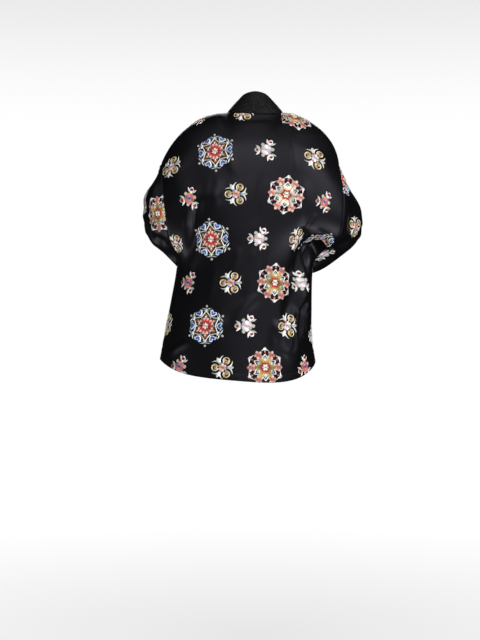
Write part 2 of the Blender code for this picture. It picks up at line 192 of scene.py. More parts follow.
# Smaller creases: half width, height, and the points of a bent line in cut coordinates
BACK_CREASES = (
    (0.006, -0.0040, (0.184, 0.342), (0.191, 0.378), (0.197, 0.418)),
    (0.012, 0.0030, (0.210, 0.330), (0.221, 0.374), (0.226, 0.415)),
    (0.010, 0.0050, (-0.190, 0.540), (-0.193, 0.470), (-0.203, 0.437), (-0.226, 0.421),
     (-0.300, 0.423)),
    (0.014, -0.0240, (-0.246, 0.570), (-0.240, 0.508), (-0.250, 0.488), (-0.274, 0.479),
     (-0.330, 0.483)),
    (0.006, -0.0060, (-0.200, 0.470), (-0.188, 0.503), (-0.176, 0.539), (-0.164, 0.578)),
    (0.014, -0.0110, (-0.170, 0.405), (-0.166, 0.450), (-0.164, 0.505)),
    (0.006, -0.0022, (-0.212, 0.362), (-0.187, 0.394), (-0.170, 0.426)),
    (0.005, -0.0016, (-0.057, 0.452), (-0.054, 0.498), (-0.055, 0.545)),
    (0.007, -0.0060, (-0.268, 0.600), (-0.205, 0.622), (-0.184, 0.650), (-0.178, 0.700),
     (-0.172, 0.760)),
    (0.008, 0.0065, (-0.266, 0.618), (-0.210, 0.640), (-0.193, 0.668), (-0.190, 0.752)),
    (0.007, -0.0045, (-0.172, 0.618), (-0.166, 0.664), (-0.158, 0.750), (-0.140, 0.782)),
    (0.006, -0.0080, (-0.248, 0.632), (-0.222, 0.672), (-0.216, 0.725)),
    (0.016, 0.0036, (-0.062, 0.590), (-0.011, 0.643), (0.022, 0.712)),
    (0.018, -0.0036, (-0.010, 0.585), (0.021, 0.638), (0.049, 0.692)),
    (0.010, 0.0030, (0.215, 0.772), (0.159, 0.747), (0.106, 0.729)),
    (0.012, 0.0036, (-0.100, 0.700), (-0.122, 0.759), (-0.150, 0.785)),
    (0.020, 0.0030, (-0.030, 0.460), (-0.022, 0.538), (-0.016, 0.605)),
    (0.030, 0.0030, (0.120, 0.600), (0.136, 0.700), (0.140, 0.815)),
    (0.026, -0.0030, (0.215, 0.590), (0.222, 0.690), (0.228, 0.790)),
    (0.022, 0.0036, (-0.156, 0.262), (-0.166, 0.336), (-0.150, 0.420)),
    (0.012, -0.0034, (0.056, 0.076), (0.000, 0.094), (-0.056, 0.076)),
    (0.014, 0.0024, (0.060, 0.130), (0.070, 0.233), (0.050, 0.285)),
    (0.010, -0.0018, (-0.028, 0.255), (-0.019, 0.345), (-0.016, 0.425)),
    (0.010, -0.0018, (0.120, 0.268), (0.140, 0.339), (0.148, 0.392)),
    (0.010, 0.0018, (-0.118, 0.118), (-0.129, 0.198), (-0.134, 0.268)),
    (0.012, -0.0022, (0.160, 0.505), (0.173, 0.565), (0.162, 0.640)),
    (0.012, 0.0022, (0.096, 0.505), (0.090, 0.576), (0.093, 0.640)),
    (0.012, 0.0022, (0.026, 0.470), (0.030, 0.516), (0.046, 0.546)),
    (0.030, 0.0095, (0.215, 0.322), (0.155, 0.334), (0.075, 0.326)),
    (0.040, 0.0060, (0.248, 0.190), (0.242, 0.280), (0.236, 0.360)),
    (0.016, 0.0045, (-0.120, 0.580), (-0.110, 0.640), (-0.104, 0.700)),
    (0.020, 0.0075, (-0.190, 0.644), (-0.140, 0.672), (-0.092, 0.690)),
)
FRONT_CREASES = (
    (0.010, -0.0035, (0.270, 0.300), (0.248, 0.380), (0.236, 0.470)),
    (0.012, 0.0030, (0.288, 0.420), (0.262, 0.500), (0.250, 0.600)),
    (0.022, 0.0018, (0.130, 0.180), (0.142, 0.260), (0.138, 0.350)),
    (0.009, -0.0030, (0.276, 0.600), (0.246, 0.640), (0.236, 0.740)),
    (0.014, 0.0016, (0.180, 0.520), (0.168, 0.600), (0.174, 0.690)),
    (0.012, -0.0012, (0.118, 0.480), (0.124, 0.580), (0.116, 0.700)),
    (0.010, -0.0035, (-0.266, 0.320), (-0.250, 0.390), (-0.240, 0.470)),
    (0.012, 0.0032, (-0.286, 0.440), (-0.258, 0.510), (-0.248, 0.590)),
    (0.020, -0.0018, (-0.126, 0.200), (-0.138, 0.290), (-0.136, 0.370)),
    (0.008, -0.0036, (-0.270, 0.590), (-0.238, 0.632), (-0.226, 0.725)),
    (0.013, 0.0016, (-0.186, 0.500), (-0.176, 0.590), (-0.182, 0.700)),
    (0.011, -0.0010, (-0.120, 0.520), (-0.126, 0.610), (-0.118, 0.720)),
)
SLEEVE_CREASES = (
    (0.010, 0.0030, (0.004, 0.200), (0.050, 0.204), (0.104, 0.190)),
    (0.016, -0.0110, (0.004, 0.236), (0.050, 0.237), (0.108, 0.222)),
    (0.010, -0.0030, (0.130, 0.205), (0.170, 0.170), (0.215, 0.145)),
    (0.009, 0.0026, (0.160, 0.225), (0.195, 0.190), (0.240, 0.170)),
    (0.010, -0.0026, (0.295, 0.110), (0.325, 0.165), (0.350, 0.225)),
    (0.010, -0.0024, (0.150, -0.160), (0.200, -0.120), (0.235, -0.060)),
    (0.012, 0.0022, (0.280, -0.190), (0.320, -0.140), (0.350, -0.070)),
    (0.014, -0.0020, (0.070, 0.020), (0.120, 0.035), (0.170, 0.030)),
)
FOLD_OVERRUN = 0.15  # how far a fold runs on past its ends, as a share of its length
FOLD_FADE = 0.4  # share of its length over which a fold fades
CREASE_FADE = 0.3
FOLD_CLEARANCE = 0.045  # distance from a body seam at which folds have their full height
CREASE_CLEARANCE = 0.015
SLEEVE_CLEARANCE = 0.05  # the same for both, from the armhole

# Relief of the sewing
SEAM_DIP = 0.0012  # how deep the cloth sinks at a sewn edge
SEAM_DIP_REACH = 0.003
HEM_TURN = 0.020  # depth of a turned-up hem
HEM_STEP = 0.0007  # how far the doubled cloth of a hem stands out
HEM_STEP_RUN = 0.004  # distance over which that step rises
BAND_PADDING = 0.0010  # how far the middle of the band swells
BAND_ROLL = 0.6  # dip of the band's free edge, as a share of a seam's
BAND_LAP = 0.003  # what the band has below its seam, under the panels
BAND_LAP_SLOPE = 0.8  # how steeply that lap goes in

# Grid of the cloth, and the steps by which its directions are found
GRID_STEP = 0.0045
EDGE_LINES = (0.0015, 0.003, 0.0055)  # extra lines beside a sewn or turned edge
NORMAL_STEP = 0.0015
EDGE_STEP = 0.004
MOTIF_STEP = 0.008


def smooth_step(x):
    x = np.clip(x, 0.0, 1.0)
    return x * x * (3.0 - 2.0 * x)


def unit(vectors):
    return vectors / np.linalg.norm(vectors, axis=-1, keepdims=True)


def points_at(*coordinates):
    """Points from an array of each of their coordinates."""
    return np.stack(coordinates, axis=-1)


def spline_slopes(knots, points):
    """Slopes of smooth curves through each place's points, and of the straight lines between."""
    gaps = np.diff(knots, axis=0)[..., None]
    straight = np.diff(points, axis=0) / gaps
    middle = (gaps[:-1] * straight[1:] + gaps[1:] * straight[:-1]) / (gaps[:-1] + gaps[1:])
    return np.concatenate([straight[:1], middle, straight[-1:]]), straight


def hermite(knots, points, tangents, at):
    """Cubic curves, one for each place, through rows of points at rows of knots."""
    row = np.clip((at[None] >= knots[1:-1]).sum(axis=0), 0, len(knots) - 2)
    places = np.arange(len(at))
    start, end = knots[row, places], knots[row + 1, places]
    gap = (end - start)[:, None]
    x = ((at - start) / (end - start))[:, None]
    here, there = points[row, places], points[row + 1, places]
    leave, arrive = tangents[row, places], tangents[row + 1, places]
    return (
        (1 + 2 * x) * (1 - x) ** 2 * here
        + x * (1 - x) ** 2 * gap * leave
        + x * x * (3 - 2 * x) * there
        - x * x * (1 - x) * gap * arrive
    )


def side_points(share, row, half):
    """The side edge of the back or front half. share runs from -1 at the right to 1 at the left."""
    names = (half + "_x", half + "_y", "z")
    left = [LEFT_SIDE[name][row] for name in names]
    right = [RIGHT_SIDE[name][row] for name in names]
    return np.where(share[:, None] >= 0, left, right)


def top_fall(share):
    """Fall, along the cloth, of the shoulder seam and the back neckline."""
    neck = NECK_HALF / BACK_HALF
    along = np.abs(share)
    shoulder = SHOULDER_DROP * (along - neck) / (1 - neck)
    scoop = NECK_SCOOP * np.cos(np.clip(along / neck, 0, 1) * math.pi / 2)
    return np.where(along >= neck, shoulder, scoop)


def hem_curve(share):
    """The hem's curve, from 0 at the middle to 1 at the side seams."""
    return (1 - np.cos(math.pi * np.abs(share) ** HEM_POWER)) / 2


def hem_tilt(share):
    return HEM_TILT * np.sin(math.pi * share)


def hem_fall(share):
    """Fall of the hem, along the cloth."""
    return BODY_LENGTH - HEM_RISE * hem_curve(share) - hem_tilt(share)


def top_line(share):
    """The shoulder line and the back neckline, in space."""
    neck = NECK_HALF / BACK_HALF
    along = np.abs(share)
    sign = np.where(share >= 0, 1.0, -1.0)
    end = side_points(share, 0, "back")
    turn = np.radians(np.where(share >= 0, LEFT_SHOULDER_TURN, RIGHT_SHOULDER_TURN))
    power = np.where(share >= 0, LEFT_SHOULDER_POWER, RIGHT_SHOULDER_POWER)
    down = np.clip((along - neck) / (1 - neck), 0, 1)
    reach = np.abs(end[:, 0]) - NECK_POINT_X
    shoulder_x = NECK_POINT_X + reach * np.sin(turn * down) / np.sin(turn)
    shoulder_z = NECK_POINT_Z + (end[:, 2] - NECK_POINT_Z) * down**power
    shoulder = points_at(sign * shoulder_x, end[:, 1], shoulder_z)
    angle = np.clip(along / neck, 0, 1) * math.pi / 2
    neckline = points_at(
        sign * NECK_POINT_X * np.sin(angle),
        end[:, 1] + (NECK_BACK_Y - end[:, 1]) * np.cos(angle),
        NECK_POINT_Z + (NECK_BACK_Z - NECK_POINT_Z) * np.cos(angle),
    )
    return np.where((along >= neck)[:, None], shoulder, neckline)


def body_section(share, data, row, half):
    """One level section of the back or the fronts, by each place's share of the way to the side."""
    edge = side_points(share, row + 1, half)
    middle = [data[name][row] for name in "xyz"]
    turn = math.radians(data["turn"][row])
    along = np.abs(share)
    out = np.sin(turn * along) / math.sin(turn)
    deep = (np.cos(turn * along) - math.cos(turn)) / (1 - math.cos(turn))
    is_hem = row == len(data["fall"]) - 1
    low = hem_curve(share) if is_hem else along**EDGE_FALL_POWER
    return points_at(
        middle[0] + (edge[:, 0] - middle[0]) * out,
        edge[:, 1] + (middle[1] - edge[:, 1]) * deep,
        middle[2] + (edge[:, 2] - middle[2]) * low + is_hem * hem_tilt(share),
    )


def body_cloth(data, half):
    """The surface of the back or the fronts: cut coordinates to points in space."""
    outward, upward = SHOULDER_WAY
    over_shoulder = np.array([0.0, outward if half == "back" else -outward, upward])

    def surface(across, fall):
        share = across / BACK_HALF
        sections = [body_section(share, data, row, half) for row in range(len(data["fall"]))]
        levels = [np.full_like(share, level) for level in data["fall"][:-1]]
        knots = np.stack([top_fall(share), *levels, hem_fall(share)])
        points = np.stack([top_line(share), *sections])
        tangents, straight = spline_slopes(knots, points)
        past_neck = np.abs(share) - NECK_HALF / BACK_HALF + SHOULDER_BLEND
        on_shoulder = smooth_step(past_neck / (2 * SHOULDER_BLEND))[:, None]
        tangents[0] += on_shoulder * (over_shoulder - tangents[0])
        at_side = (np.abs(share) ** UNDERARM_POWER)[:, None]
        tangents[UNDERARM_ROW] += at_side * (straight[UNDERARM_ROW] - tangents[UNDERARM_ROW])
        return hermite(knots, points, tangents, fall)

    return surface


back_surface = body_cloth(BACK, "back")
front_surface = body_cloth(FRONT, "front")


def sleeve_ring(data, row, turn):
    """An upright ring of a sleeve. turn runs from -1 at the underarm, over the top at 0, to 1."""
    angle = turn * math.pi
    ring = {name: values[row] for name, values in data.items()}
    hang = 1 - ring["pinch"] * (1 - np.cos(angle)) / 2
    aside = np.sin(angle) * hang / 2
    return points_at(
        (ring["out_x"] + ring["in_x"]) / 2 + (ring["out_x"] - ring["in_x"]) * aside,
        (ring["out_y"] + ring["in_y"]) / 2 + (ring["out_y"] - ring["in_y"]) * aside,
        (ring["top"] + ring["bottom"]) / 2 + (ring["top"] - ring["bottom"]) / 2 * np.cos(angle),
    )


def armhole(side, turn):
    """The armhole seam, by the turn of the sleeve's rings, and the way the body's cloth leaves it."""
    fall = SHOULDER_DROP + (UNDERARM - SHOULDER_DROP) * np.abs(turn)
    edge = np.full_like(turn, side * BACK_HALF)
    inside = edge - side * EDGE_STEP
    behind = (turn >= 0)[:, None]
    seam = np.where(behind, back_surface(edge, fall), front_surface(edge, fall))
    within = np.where(behind, back_surface(inside, fall), front_surface(inside, fall))
    return seam, unit(seam - within)


def follow(knots, rows):
    """A line through rows of points, in straight steps."""
    return lambda at: points_at(*(np.interp(at, knots, column) for column in rows.T))


def sleeve_cloth(data, side):
    """The surface of a sleeve: length from the armhole and distance round from the top to points."""
    turns = np.linspace(-1, 1, ARMHOLE_STATIONS)
    seam_line, leave_line = (follow(turns, rows) for rows in armhole(side, turns))

    def surface(along, around):
        turn = around / SLEEVE_HALF_GIRTH
        seam, leave = seam_line(turn), leave_line(turn)
        rings = [sleeve_ring(data, row, turn) for row in range(len(data["along"]))]
        points = np.stack([seam, *rings])
        knots = np.repeat(np.array([0.0, *data["along"]])[:, None], len(turn), axis=1)
        tangents, straight = spline_slopes(knots, points)
        behind = SLEEVE_BLEND_BEHIND * (1 - turn) * (turn > 0)
        before = (1 + SLEEVE_BLEND_BEFORE * turn) * (turn <= 0)
        joined = smooth_step(behind + before)[:, None]
        pace = np.linalg.norm(straight[0], axis=-1, keepdims=True)
        tangents[0] = joined * pace * leave + (1 - joined) * straight[0]
        return hermite(knots, points, tangents, along)

    return surface


def band_cloth(station, rise):
    """The neckband. station runs along its seam from right hem to left hem, and rise across it."""
    side = np.where(station >= 0, 1.0, -1.0)
    angle = np.clip(station / NECKLINE_HALF, -1, 1) * math.pi / 2
    share = np.clip(station / NECKLINE_HALF, -1, 1) * NECK_HALF / BACK_HALF
    fall = np.maximum(np.abs(station) - NECKLINE_HALF, 0)
    on_front = (np.abs(station) > NECKLINE_HALF)[:, None]
    edge = side * NECK_HALF
    seam = np.where(on_front, front_surface(edge, fall), top_line(share))
    around = points_at(
        -BAND_SIDE_IN * np.sin(angle),
        -BAND_BACK_FORWARD * np.cos(angle),
        BAND_SIDE_UP + (BAND_BACK_UP - BAND_SIDE_UP) * np.cos(angle),
    )
    flat = unit(seam - front_surface(edge + side * EDGE_STEP, fall))
    stands = (1 - smooth_step(fall / BAND_FLAT_FALL))[:, None]
    down_front = unit(flat * (1 - stands) + unit(around) * stands)
    lean = np.where(on_front, down_front, unit(around))
    return seam + rise[:, None] * lean


def ways_along(surface, first, second, step):
    """How far the cloth goes over two steps in each of its cut directions."""
    first_way = surface(first + step, second) - surface(first - step, second)
    second_way = surface(first, second + step) - surface(first, second - step)
    return first_way, second_way


def normals_of(surface, first, second, facing):
    return facing * unit(np.cross(*ways_along(surface, first, second, NORMAL_STEP)))


def fold_heights(folds, first, second):
    """Sum of the folds: soft ridges and troughs that fade out at both ends."""
    total = np.zeros_like(first)
    for x, y, to_x, to_y, half_width, height in zip(*folds.values()):
        run_x, run_y = to_x - x, to_y - y
        length = math.hypot(run_x, run_y)
        along = ((first - x) * run_x + (second - y) * run_y) / length**2
        aside = ((first - x) * run_y - (second - y) * run_x) / length
        to_start, to_end = along + FOLD_OVERRUN, 1 + FOLD_OVERRUN - along
        fade = smooth_step(to_start / FOLD_FADE) * smooth_step(to_end / FOLD_FADE)
        total += height * fade * np.exp(-((aside / half_width) ** 2))
    return total


def crease_heights(creases, first, second):
    """Sum of the creases, by the nearest place on each one's bent line, fading at both ends."""
    total = np.zeros_like(first)
    for half_width, height, *line in creases:
        corners = np.array(line)
        runs = np.diff(corners, axis=0)
        lengths = np.linalg.norm(runs, axis=-1)
        before = np.concatenate([[0], np.cumsum(lengths)])
        nearest = np.full_like(first, np.inf)
        share = np.zeros_like(first)
        for corner, run, length, start in zip(corners, runs, lengths, before):
            one, two = first - corner[0], second - corner[1]
            along = np.clip((one * run[0] + two * run[1]) / length**2, 0, 1)
            gap = np.hypot(one - along * run[0], two - along * run[1])
            share = np.where(gap < nearest, (start + along * length) / before[-1], share)
            nearest = np.minimum(nearest, gap)
        fade = smooth_step(share / CREASE_FADE) * smooth_step((1 - share) / CREASE_FADE)
        total += height * fade * np.exp(-((nearest / half_width) ** 2))
    return total


def dip(distance):
    """The sunk line of a seam, by the distance from it."""
    return -SEAM_DIP * np.exp(-((distance / SEAM_DIP_REACH) ** 2))


def turned_hem(distance):
    """The doubled cloth of a hem, by the distance from its edge."""
    return HEM_STEP * smooth_step((HEM_TURN - distance) / HEM_STEP_RUN)


def body_relief(folds, creases, front=False):
    """Heights on the back or a front: folds that flatten towards the seams, seams and the hem."""

    def relief(across, fall):
        share = across / BACK_HALF
        to_side = BACK_HALF - np.abs(across)
        to_top = fall - top_fall(share)

        def clear_of_seams(reach):
            return smooth_step(to_side / reach) * smooth_step(to_top / reach)

        heights = fold_heights(folds, across, fall) * clear_of_seams(FOLD_CLEARANCE)
        heights += crease_heights(creases, across, fall) * clear_of_seams(CREASE_CLEARANCE)
        heights += dip(to_side) + dip(to_top) + turned_hem(hem_fall(share) - fall)
        if front:
            heights += dip(np.abs(across) - NECK_HALF)
        return heights

    return relief


def sleeve_relief(along, around):
    to_underarm = SLEEVE_HALF_GIRTH - np.abs(around)
    soft = smooth_step(along / SLEEVE_CLEARANCE)
    heights = fold_heights(SLEEVE_FOLDS, along, around)
    heights += crease_heights(SLEEVE_CREASES, along, around)
    return heights * soft + dip(along) + dip(to_underarm) + turned_hem(SLEEVE_LENGTH - along)


def band_relief(station, rise):
    """Soft padding, a dip at the seam and on under the panels, and a roll at the free edge."""
    padded = BAND_PADDING * np.sin(math.pi * np.clip(rise / BAND_WIDTH, 0, 1))
    lap = BAND_LAP_SLOPE * np.minimum(rise, 0)
    return padded + dip(rise) + lap + BAND_ROLL * dip(BAND_WIDTH - rise)


LEAST_STRETCH = 0.75  # cloth bunched more than this squeezes its embroidery


class Panel:
    """A cut piece: its surface in cut coordinates, the side that faces out, its relief and outline.

    right is the direction, in cut coordinates, that lies to the right of someone facing the cloth.
    """

    def __init__(self, surface, facing, relief, trim, right):
        self.surface = surface
        self.facing = facing
        self.relief = relief
        self.trim = trim
        self.right = right

    def lifted(self, first, second, height):
        """Points on the cloth, or a height above it."""
        normals = normals_of(self.surface, first, second, self.facing)
        lift = self.relief(first, second) + height
        return self.surface(first, second) + lift[:, None] * normals

    def points(self, first, second):
        return self.lifted(first, second, 0.0)

    def spread(self, middle, flat):
        """Cut coordinates of a motif's flat points, laid about middle at their true size.

        Where the cloth is bunched, the motif is squeezed with it.
        """
        one, two = (np.array([value]) for value in middle)
        ways = [way[0] / (2 * MOTIF_STEP) for way in ways_along(self.surface, one, two, MOTIF_STEP)]
        outward = self.facing * unit(np.cross(*ways))
        ways = np.stack(ways, axis=-1)
        right = unit(ways @ np.array(self.right, float))
        up = np.cross(outward, right)
        in_space = flat[:, :1] * right + flat[:, 1:2] * up
        left, sizes, right_rows = np.linalg.svd(ways, full_matrices=False)
        return np.array(middle) + in_space @ left / np.maximum(sizes, LEAST_STRETCH) @ right_rows


def stretch(start, end, fine_start=True, fine_end=True):
    """Grid lines from start to end, closer beside a sewn or turned end."""
    near = np.array(EDGE_LINES)
    length = end - start
    begin = 2 * near[-1] if fine_start else 0.0
    stop = length - (2 * near[-1] if fine_end else 0.0)
    inner = np.linspace(begin, stop, max(2, round((stop - begin) / GRID_STEP) + 1))
    lines = [inner]
    if fine_start:
        lines.insert(0, np.array([0.0, *near]))
    if fine_end:
        lines.append(np.array([*(length - near[::-1]), length]))
    return start + np.concatenate(lines)


def body_rows():
    """Shares of the way down a body panel, as the part above the underarm, then the part below."""
    upper = stretch(0.0, UNDERARM, fine_end=False) / UNDERARM
    lower = stretch(0.0, BODY_LENGTH - UNDERARM, fine_start=False) / (BODY_LENGTH - UNDERARM)
    return np.concatenate([upper, 1 + lower[1:]])


def body_cut(across, row):
    """Cut coordinates on a body panel, from the distance across and the share of the way down."""
    share = across / BACK_HALF
    upper = top_fall(share) + (UNDERARM - top_fall(share)) * np.minimum(row, 1)
    lower = (hem_fall(share) - UNDERARM) * np.maximum(row - 1, 0)
    return across, upper + lower


EDGE_MARGIN = 0.0008  # how far embroidery stays inside a seam or an edge
# Line on the back beyond which a star goes into the tuck under the right arm
TUCK_ACROSS = (-0.310, -0.289, -0.254, -0.232, -0.220, -0.190)
TUCK_FALL = (0.455, 0.455, 0.447, 0.450, 0.462, 0.476)
TUCK_END = 0.560


def body_trim(inner_edge):
    """Keeps cut coordinates inside a body panel, whose inner edge is a distance from the middle."""

    def trim(across, fall):
        side = np.where(across >= 0, 1.0, -1.0) if inner_edge == 0 else inner_edge / abs(inner_edge)
        low = abs(inner_edge) + EDGE_MARGIN * (inner_edge != 0)
        across = side * np.clip(across * side, low, BACK_HALF - EDGE_MARGIN)
        share = across / BACK_HALF
        return across, np.clip(fall, top_fall(share) + EDGE_MARGIN, hem_fall(share) - EDGE_MARGIN)

    return trim


def sleeve_trim(along, around):
    half = SLEEVE_HALF_GIRTH - EDGE_MARGIN
    return np.clip(along, EDGE_MARGIN, SLEEVE_LENGTH - EDGE_MARGIN), np.clip(around, -half, half)


def sleeve_panel(data, side):
    return Panel(sleeve_cloth(data, side), side, sleeve_relief, sleeve_trim, (0, side))


back_panel = Panel(back_surface, 1, body_relief(BACK_FOLDS, BACK_CREASES), body_trim(0.0), (-1, 0))
front_relief = body_relief(FRONT_FOLDS, FRONT_CREASES, front=True)
left_panel = Panel(front_surface, -1, front_relief, body_trim(NECK_HALF), (1, 0))
right_panel = Panel(front_surface, -1, front_relief, body_trim(-NECK_HALF), (1, 0))
left_sleeve = sleeve_panel(LEFT_SLEEVE, 1)
right_sleeve = sleeve_panel(RIGHT_SLEEVE, -1)
band_panel = Panel(band_cloth, -1, band_relief, None, (-1, 0))


# Finishes


class Socket:
    """An output of a node, with arithmetic that adds Math nodes."""

    def __init__(self, nodes, output):
        self.nodes = nodes
        self.output = output

    def math(self, operation, *values):
        inputs = dict(enumerate(values))
        return self.nodes.node("ShaderNodeMath", {"operation": operation}, inputs)

    def __add__(self, other):
        return self.math("ADD", self, other)

    def __radd__(self, other):
        return self.math("ADD", other, self)

    def __rsub__(self, other):
        return self.math("SUBTRACT", other, self)

    def __mul__(self, other):
        return self.math("MULTIPLY", self, other)

    def __rmul__(self, other):
        return self.math("MULTIPLY", other, self)

    def sine(self):
        return self.math("SINE", self)

    def between(self, low, high):
        """0 below low, 1 above high and a smooth rise between them."""
        settings = {"interpolation_type": "SMOOTHSTEP"}
        inputs = {"Value": self, "From Min": low, "From Max": high}
        return self.nodes.node("ShaderNodeMapRange", settings, inputs)


class Nodes:
    """A node tree under way."""

    def __init__(self, tree):
        self.tree = tree

    def node(self, kind, settings=None, inputs=None, output=0):
        made = self.tree.nodes.new(kind)
        for name, value in (settings or {}).items():
            setattr(made, name, value)
        for name, value in (inputs or {}).items():
            self.set(made.inputs[name], value)
        return Socket(self, made.outputs[output])

    def set(self, socket, value):
        if isinstance(value, Socket):
            self.tree.links.new(value.output, socket)
        else:
            socket.default_value = value

    def scaled(self, vector, scale):
        settings = {"operation": "MULTIPLY"}
        return self.node("ShaderNodeVectorMath", settings, {0: vector, 1: scale})

    def noise(self, vector, detail=2.0):
        inputs = {"Vector": vector, "Scale": 1.0, "Detail": detail}
        return self.node("ShaderNodeTexNoise", None, inputs)

    def mixed(self, share, first, second):
        """A colour between two, by a share."""
        settings = {"data_type": "RGBA"}
        inputs = {0: share, 6: first, 7: second}
        return self.node("ShaderNodeMix", settings, inputs, output=2)


class Finish(Nodes):
    """A material under way: a Principled shader, and the nodes that feed it."""

    def __init__(self, name, **constants):
        self.material = bpy.data.materials.new(name)
        self.material.use_nodes = True
        super().__init__(self.material.node_tree)
        self.shader = self.tree.nodes["Principled BSDF"]
        for socket, value in constants.items():
            self.feed(socket.replace("_", " "), value)

    def feed(self, socket, value):
        self.set(self.shader.inputs[socket], value)

    def bumped(self, height, strength, distance):
        inputs = {"Height": height, "Strength": strength, "Distance": distance}
        self.feed("Normal", self.node("ShaderNodeBump", None, inputs))


def grey(value, red=1.0, blue=1.0):
    return (value * red, value, value * blue, 1.0)


def ink(value):
    """A black with a breath of violet."""
    return grey(value, 1.04, 1.22)


def satin_finish():
    """Black silk satin: fine warp streaks along the fall, and a sheen that wanders a little."""
    tint = (0.86, 0.82, 1.0, 1.0)
    finish = Finish("black_satin", Metallic=0.0, Specular_IOR_Level=0.205, Specular_Tint=tint)
    cut = finish.node("ShaderNodeUVMap", {"uv_map": "cut"})
    streaks = finish.noise(finish.scaled(cut, (1500.0, 70.0, 1.0)))
    broad = finish.noise(finish.scaled(cut, (22.0, 6.0, 1.0)))
    finish.feed("Base Color", finish.mixed(broad, ink(0.0022), ink(0.0037)))
    finish.feed("Roughness", 0.35 + 0.08 * streaks + 0.06 * broad)
    finish.bumped(streaks, 0.12, 0.0002)
    return finish.material


def jacquard_finish():
    """Matt black brocade of the neckband, with a small woven figure lighter than its ground."""
    finish = Finish("black_jacquard", Metallic=0.0, Specular_IOR_Level=0.17)
    cut = finish.node("ShaderNodeUVMap", {"uv_map": "cut"})
    warp = finish.noise(finish.scaled(cut, (130.0, 130.0, 1.0)), 1.0)
    cells = {"Vector": finish.scaled(cut, (150.0, 190.0, 1.0)), "Scale": 1.0}
    figure = finish.node("ShaderNodeTexVoronoi", {"feature": "SMOOTH_F1"}, cells)
    raised = (figure + 0.5 * warp).between(0.45, 0.75)
    finish.feed("Base Color", finish.mixed(raised, ink(0.0076), ink(0.0026)))
    finish.feed("Roughness", 0.55 + 0.2 * raised)
    finish.bumped(1.0 - raised, 0.5, 0.0003)
    return finish.material


STITCH_PITCH = 0.0008  # width of a line of embroidery thread


def thread_finish():
    """Embroidery silk, in each patch's own colour with its painted sheen, with the ribs of its satin
    stitch and painted shade in the grooves between them.
    """
    finish = Finish("embroidery_silk", Metallic=0.0, Specular_IOR_Level=0.35)
    colour = finish.node("ShaderNodeAttribute", {"attribute_name": "thread"})
    rib = finish.node("ShaderNodeAttribute", {"attribute_name": "stitch"}, output="Fac")
    ribs = (rib * (2 * math.pi / STITCH_PITCH)).sine()
    shade = 0.5 + 0.5 * ribs
    # Painted shade: the colour darkens to four fifths in the grooves between the ribs
    deep = finish.scaled(colour, (0.80, 0.80, 0.80))
    finish.feed("Base Color", finish.mixed(shade, deep, colour))
    finish.feed("Roughness", 0.44 - 0.12 * shade)
    finish.bumped(ribs, 0.25, 0.0002)
    return finish.material


def sewing_finish():
    """Black sewing thread, twisted."""
    finish = Finish("sewing_thread", Metallic=0.0, Specular_IOR_Level=0.4)
    place = finish.node("ShaderNodeTexCoord", output="Object")
    twist = finish.noise(finish.scaled(place, (2500.0, 2500.0, 2500.0)))
    finish.feed("Base Color", finish.mixed(twist, grey(0.010), grey(0.026)))
    finish.feed("Roughness", 0.42 + 0.15 * twist)
    return finish.material


satin = satin_finish()
jacquard = jacquard_finish()
silk = thread_finish()
sewing = sewing_finish()


# Cloth


def new_piece(name, mesh, material):
    mesh.materials.append(material)
    piece = bpy.data.objects.new(name, mesh)
    bpy.context.scene.collection.objects.link(piece)
    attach(piece, "root")
    return piece


def add_map(mesh, name, places):
    """A map that gives each point of a mesh its place."""
    corners = np.empty(len(mesh.loops), np.int32)
    mesh.loops.foreach_get("vertex_index", corners)
    layer = mesh.uv_layers.new(name=name)
    layer.data.foreach_set("uv", places[corners].astype(np.float32).ravel())


def cloth_piece(node, panel, firsts, seconds, cut=None):
    """A panel's cloth: a grid laid on its surface, its cut coordinates as a map, and a wall."""
    name = node + "_cloth"
    material, thickness = (jacquard, BAND_CLOTH) if node == "neckband" else (satin, CLOTH)
    bm = bmesh.new()
    bmesh.ops.create_grid(bm, x_segments=len(firsts) - 1, y_segments=len(seconds) - 1, size=1.0)
    mesh = bpy.data.meshes.new(name)
    bm.to_mesh(mesh)
    bm.free()
    flat = np.empty(len(mesh.vertices) * 3, np.float32)
    mesh.vertices.foreach_get("co", flat)
    counts = [[len(firsts) - 1], [len(seconds) - 1]]
    rows, columns = np.rint((flat.reshape(-1, 3)[:, :2].T + 1) / 2 * counts).astype(int)
    first, second = firsts[rows], seconds[columns]
    if cut is not None:
        first, second = cut(first, second)
    mesh.vertices.foreach_set("co", panel.points(first, second).astype(np.float32).ravel())
    add_map(mesh, "cut", points_at(first, second))
    if panel.facing < 0:
        mesh.flip_normals()
    mesh.shade_smooth()
    piece = new_piece(name, mesh, material)
    wall = piece.modifiers.new("wall", "SOLIDIFY")
    wall.thickness = thickness
    wall.offset = -1.0
    return piece


def back_columns():
    outer = stretch(NECK_HALF, BACK_HALF, fine_start=False)
    middle = stretch(-NECK_HALF, NECK_HALF, fine_start=False, fine_end=False)
    return np.concatenate([-outer[::-1], middle[1:-1], outer])


def band_ends():
    """Stations of the neckband's two ends, at the right and the left hem."""
    right, left = hem_fall(np.array([-1.0, 1.0]) * NECK_HALF / BACK_HALF)
    return -NECKLINE_HALF - right, NECKLINE_HALF + left


body_lines = body_rows()
front_columns = stretch(NECK_HALF, BACK_HALF)
along_lines = stretch(0.0, SLEEVE_LENGTH)
around_lines = stretch(-SLEEVE_HALF_GIRTH, SLEEVE_HALF_GIRTH)
cloth_grids = {
    "back": (back_panel, back_columns(), body_lines, body_cut),
    "front_left": (left_panel, front_columns, body_lines, body_cut),
    "front_right": (right_panel, -front_columns[::-1], body_lines, body_cut),
    "sleeve_left": (left_sleeve, along_lines, around_lines),
    "sleeve_right": (right_sleeve, along_lines, around_lines),
    "neckband": (band_panel, stretch(*band_ends()), stretch(-BAND_LAP, BAND_WIDTH)),
}
cloth = {node: cloth_piece(node, *grid) for node, grid in cloth_grids.items()}


# Embroidery


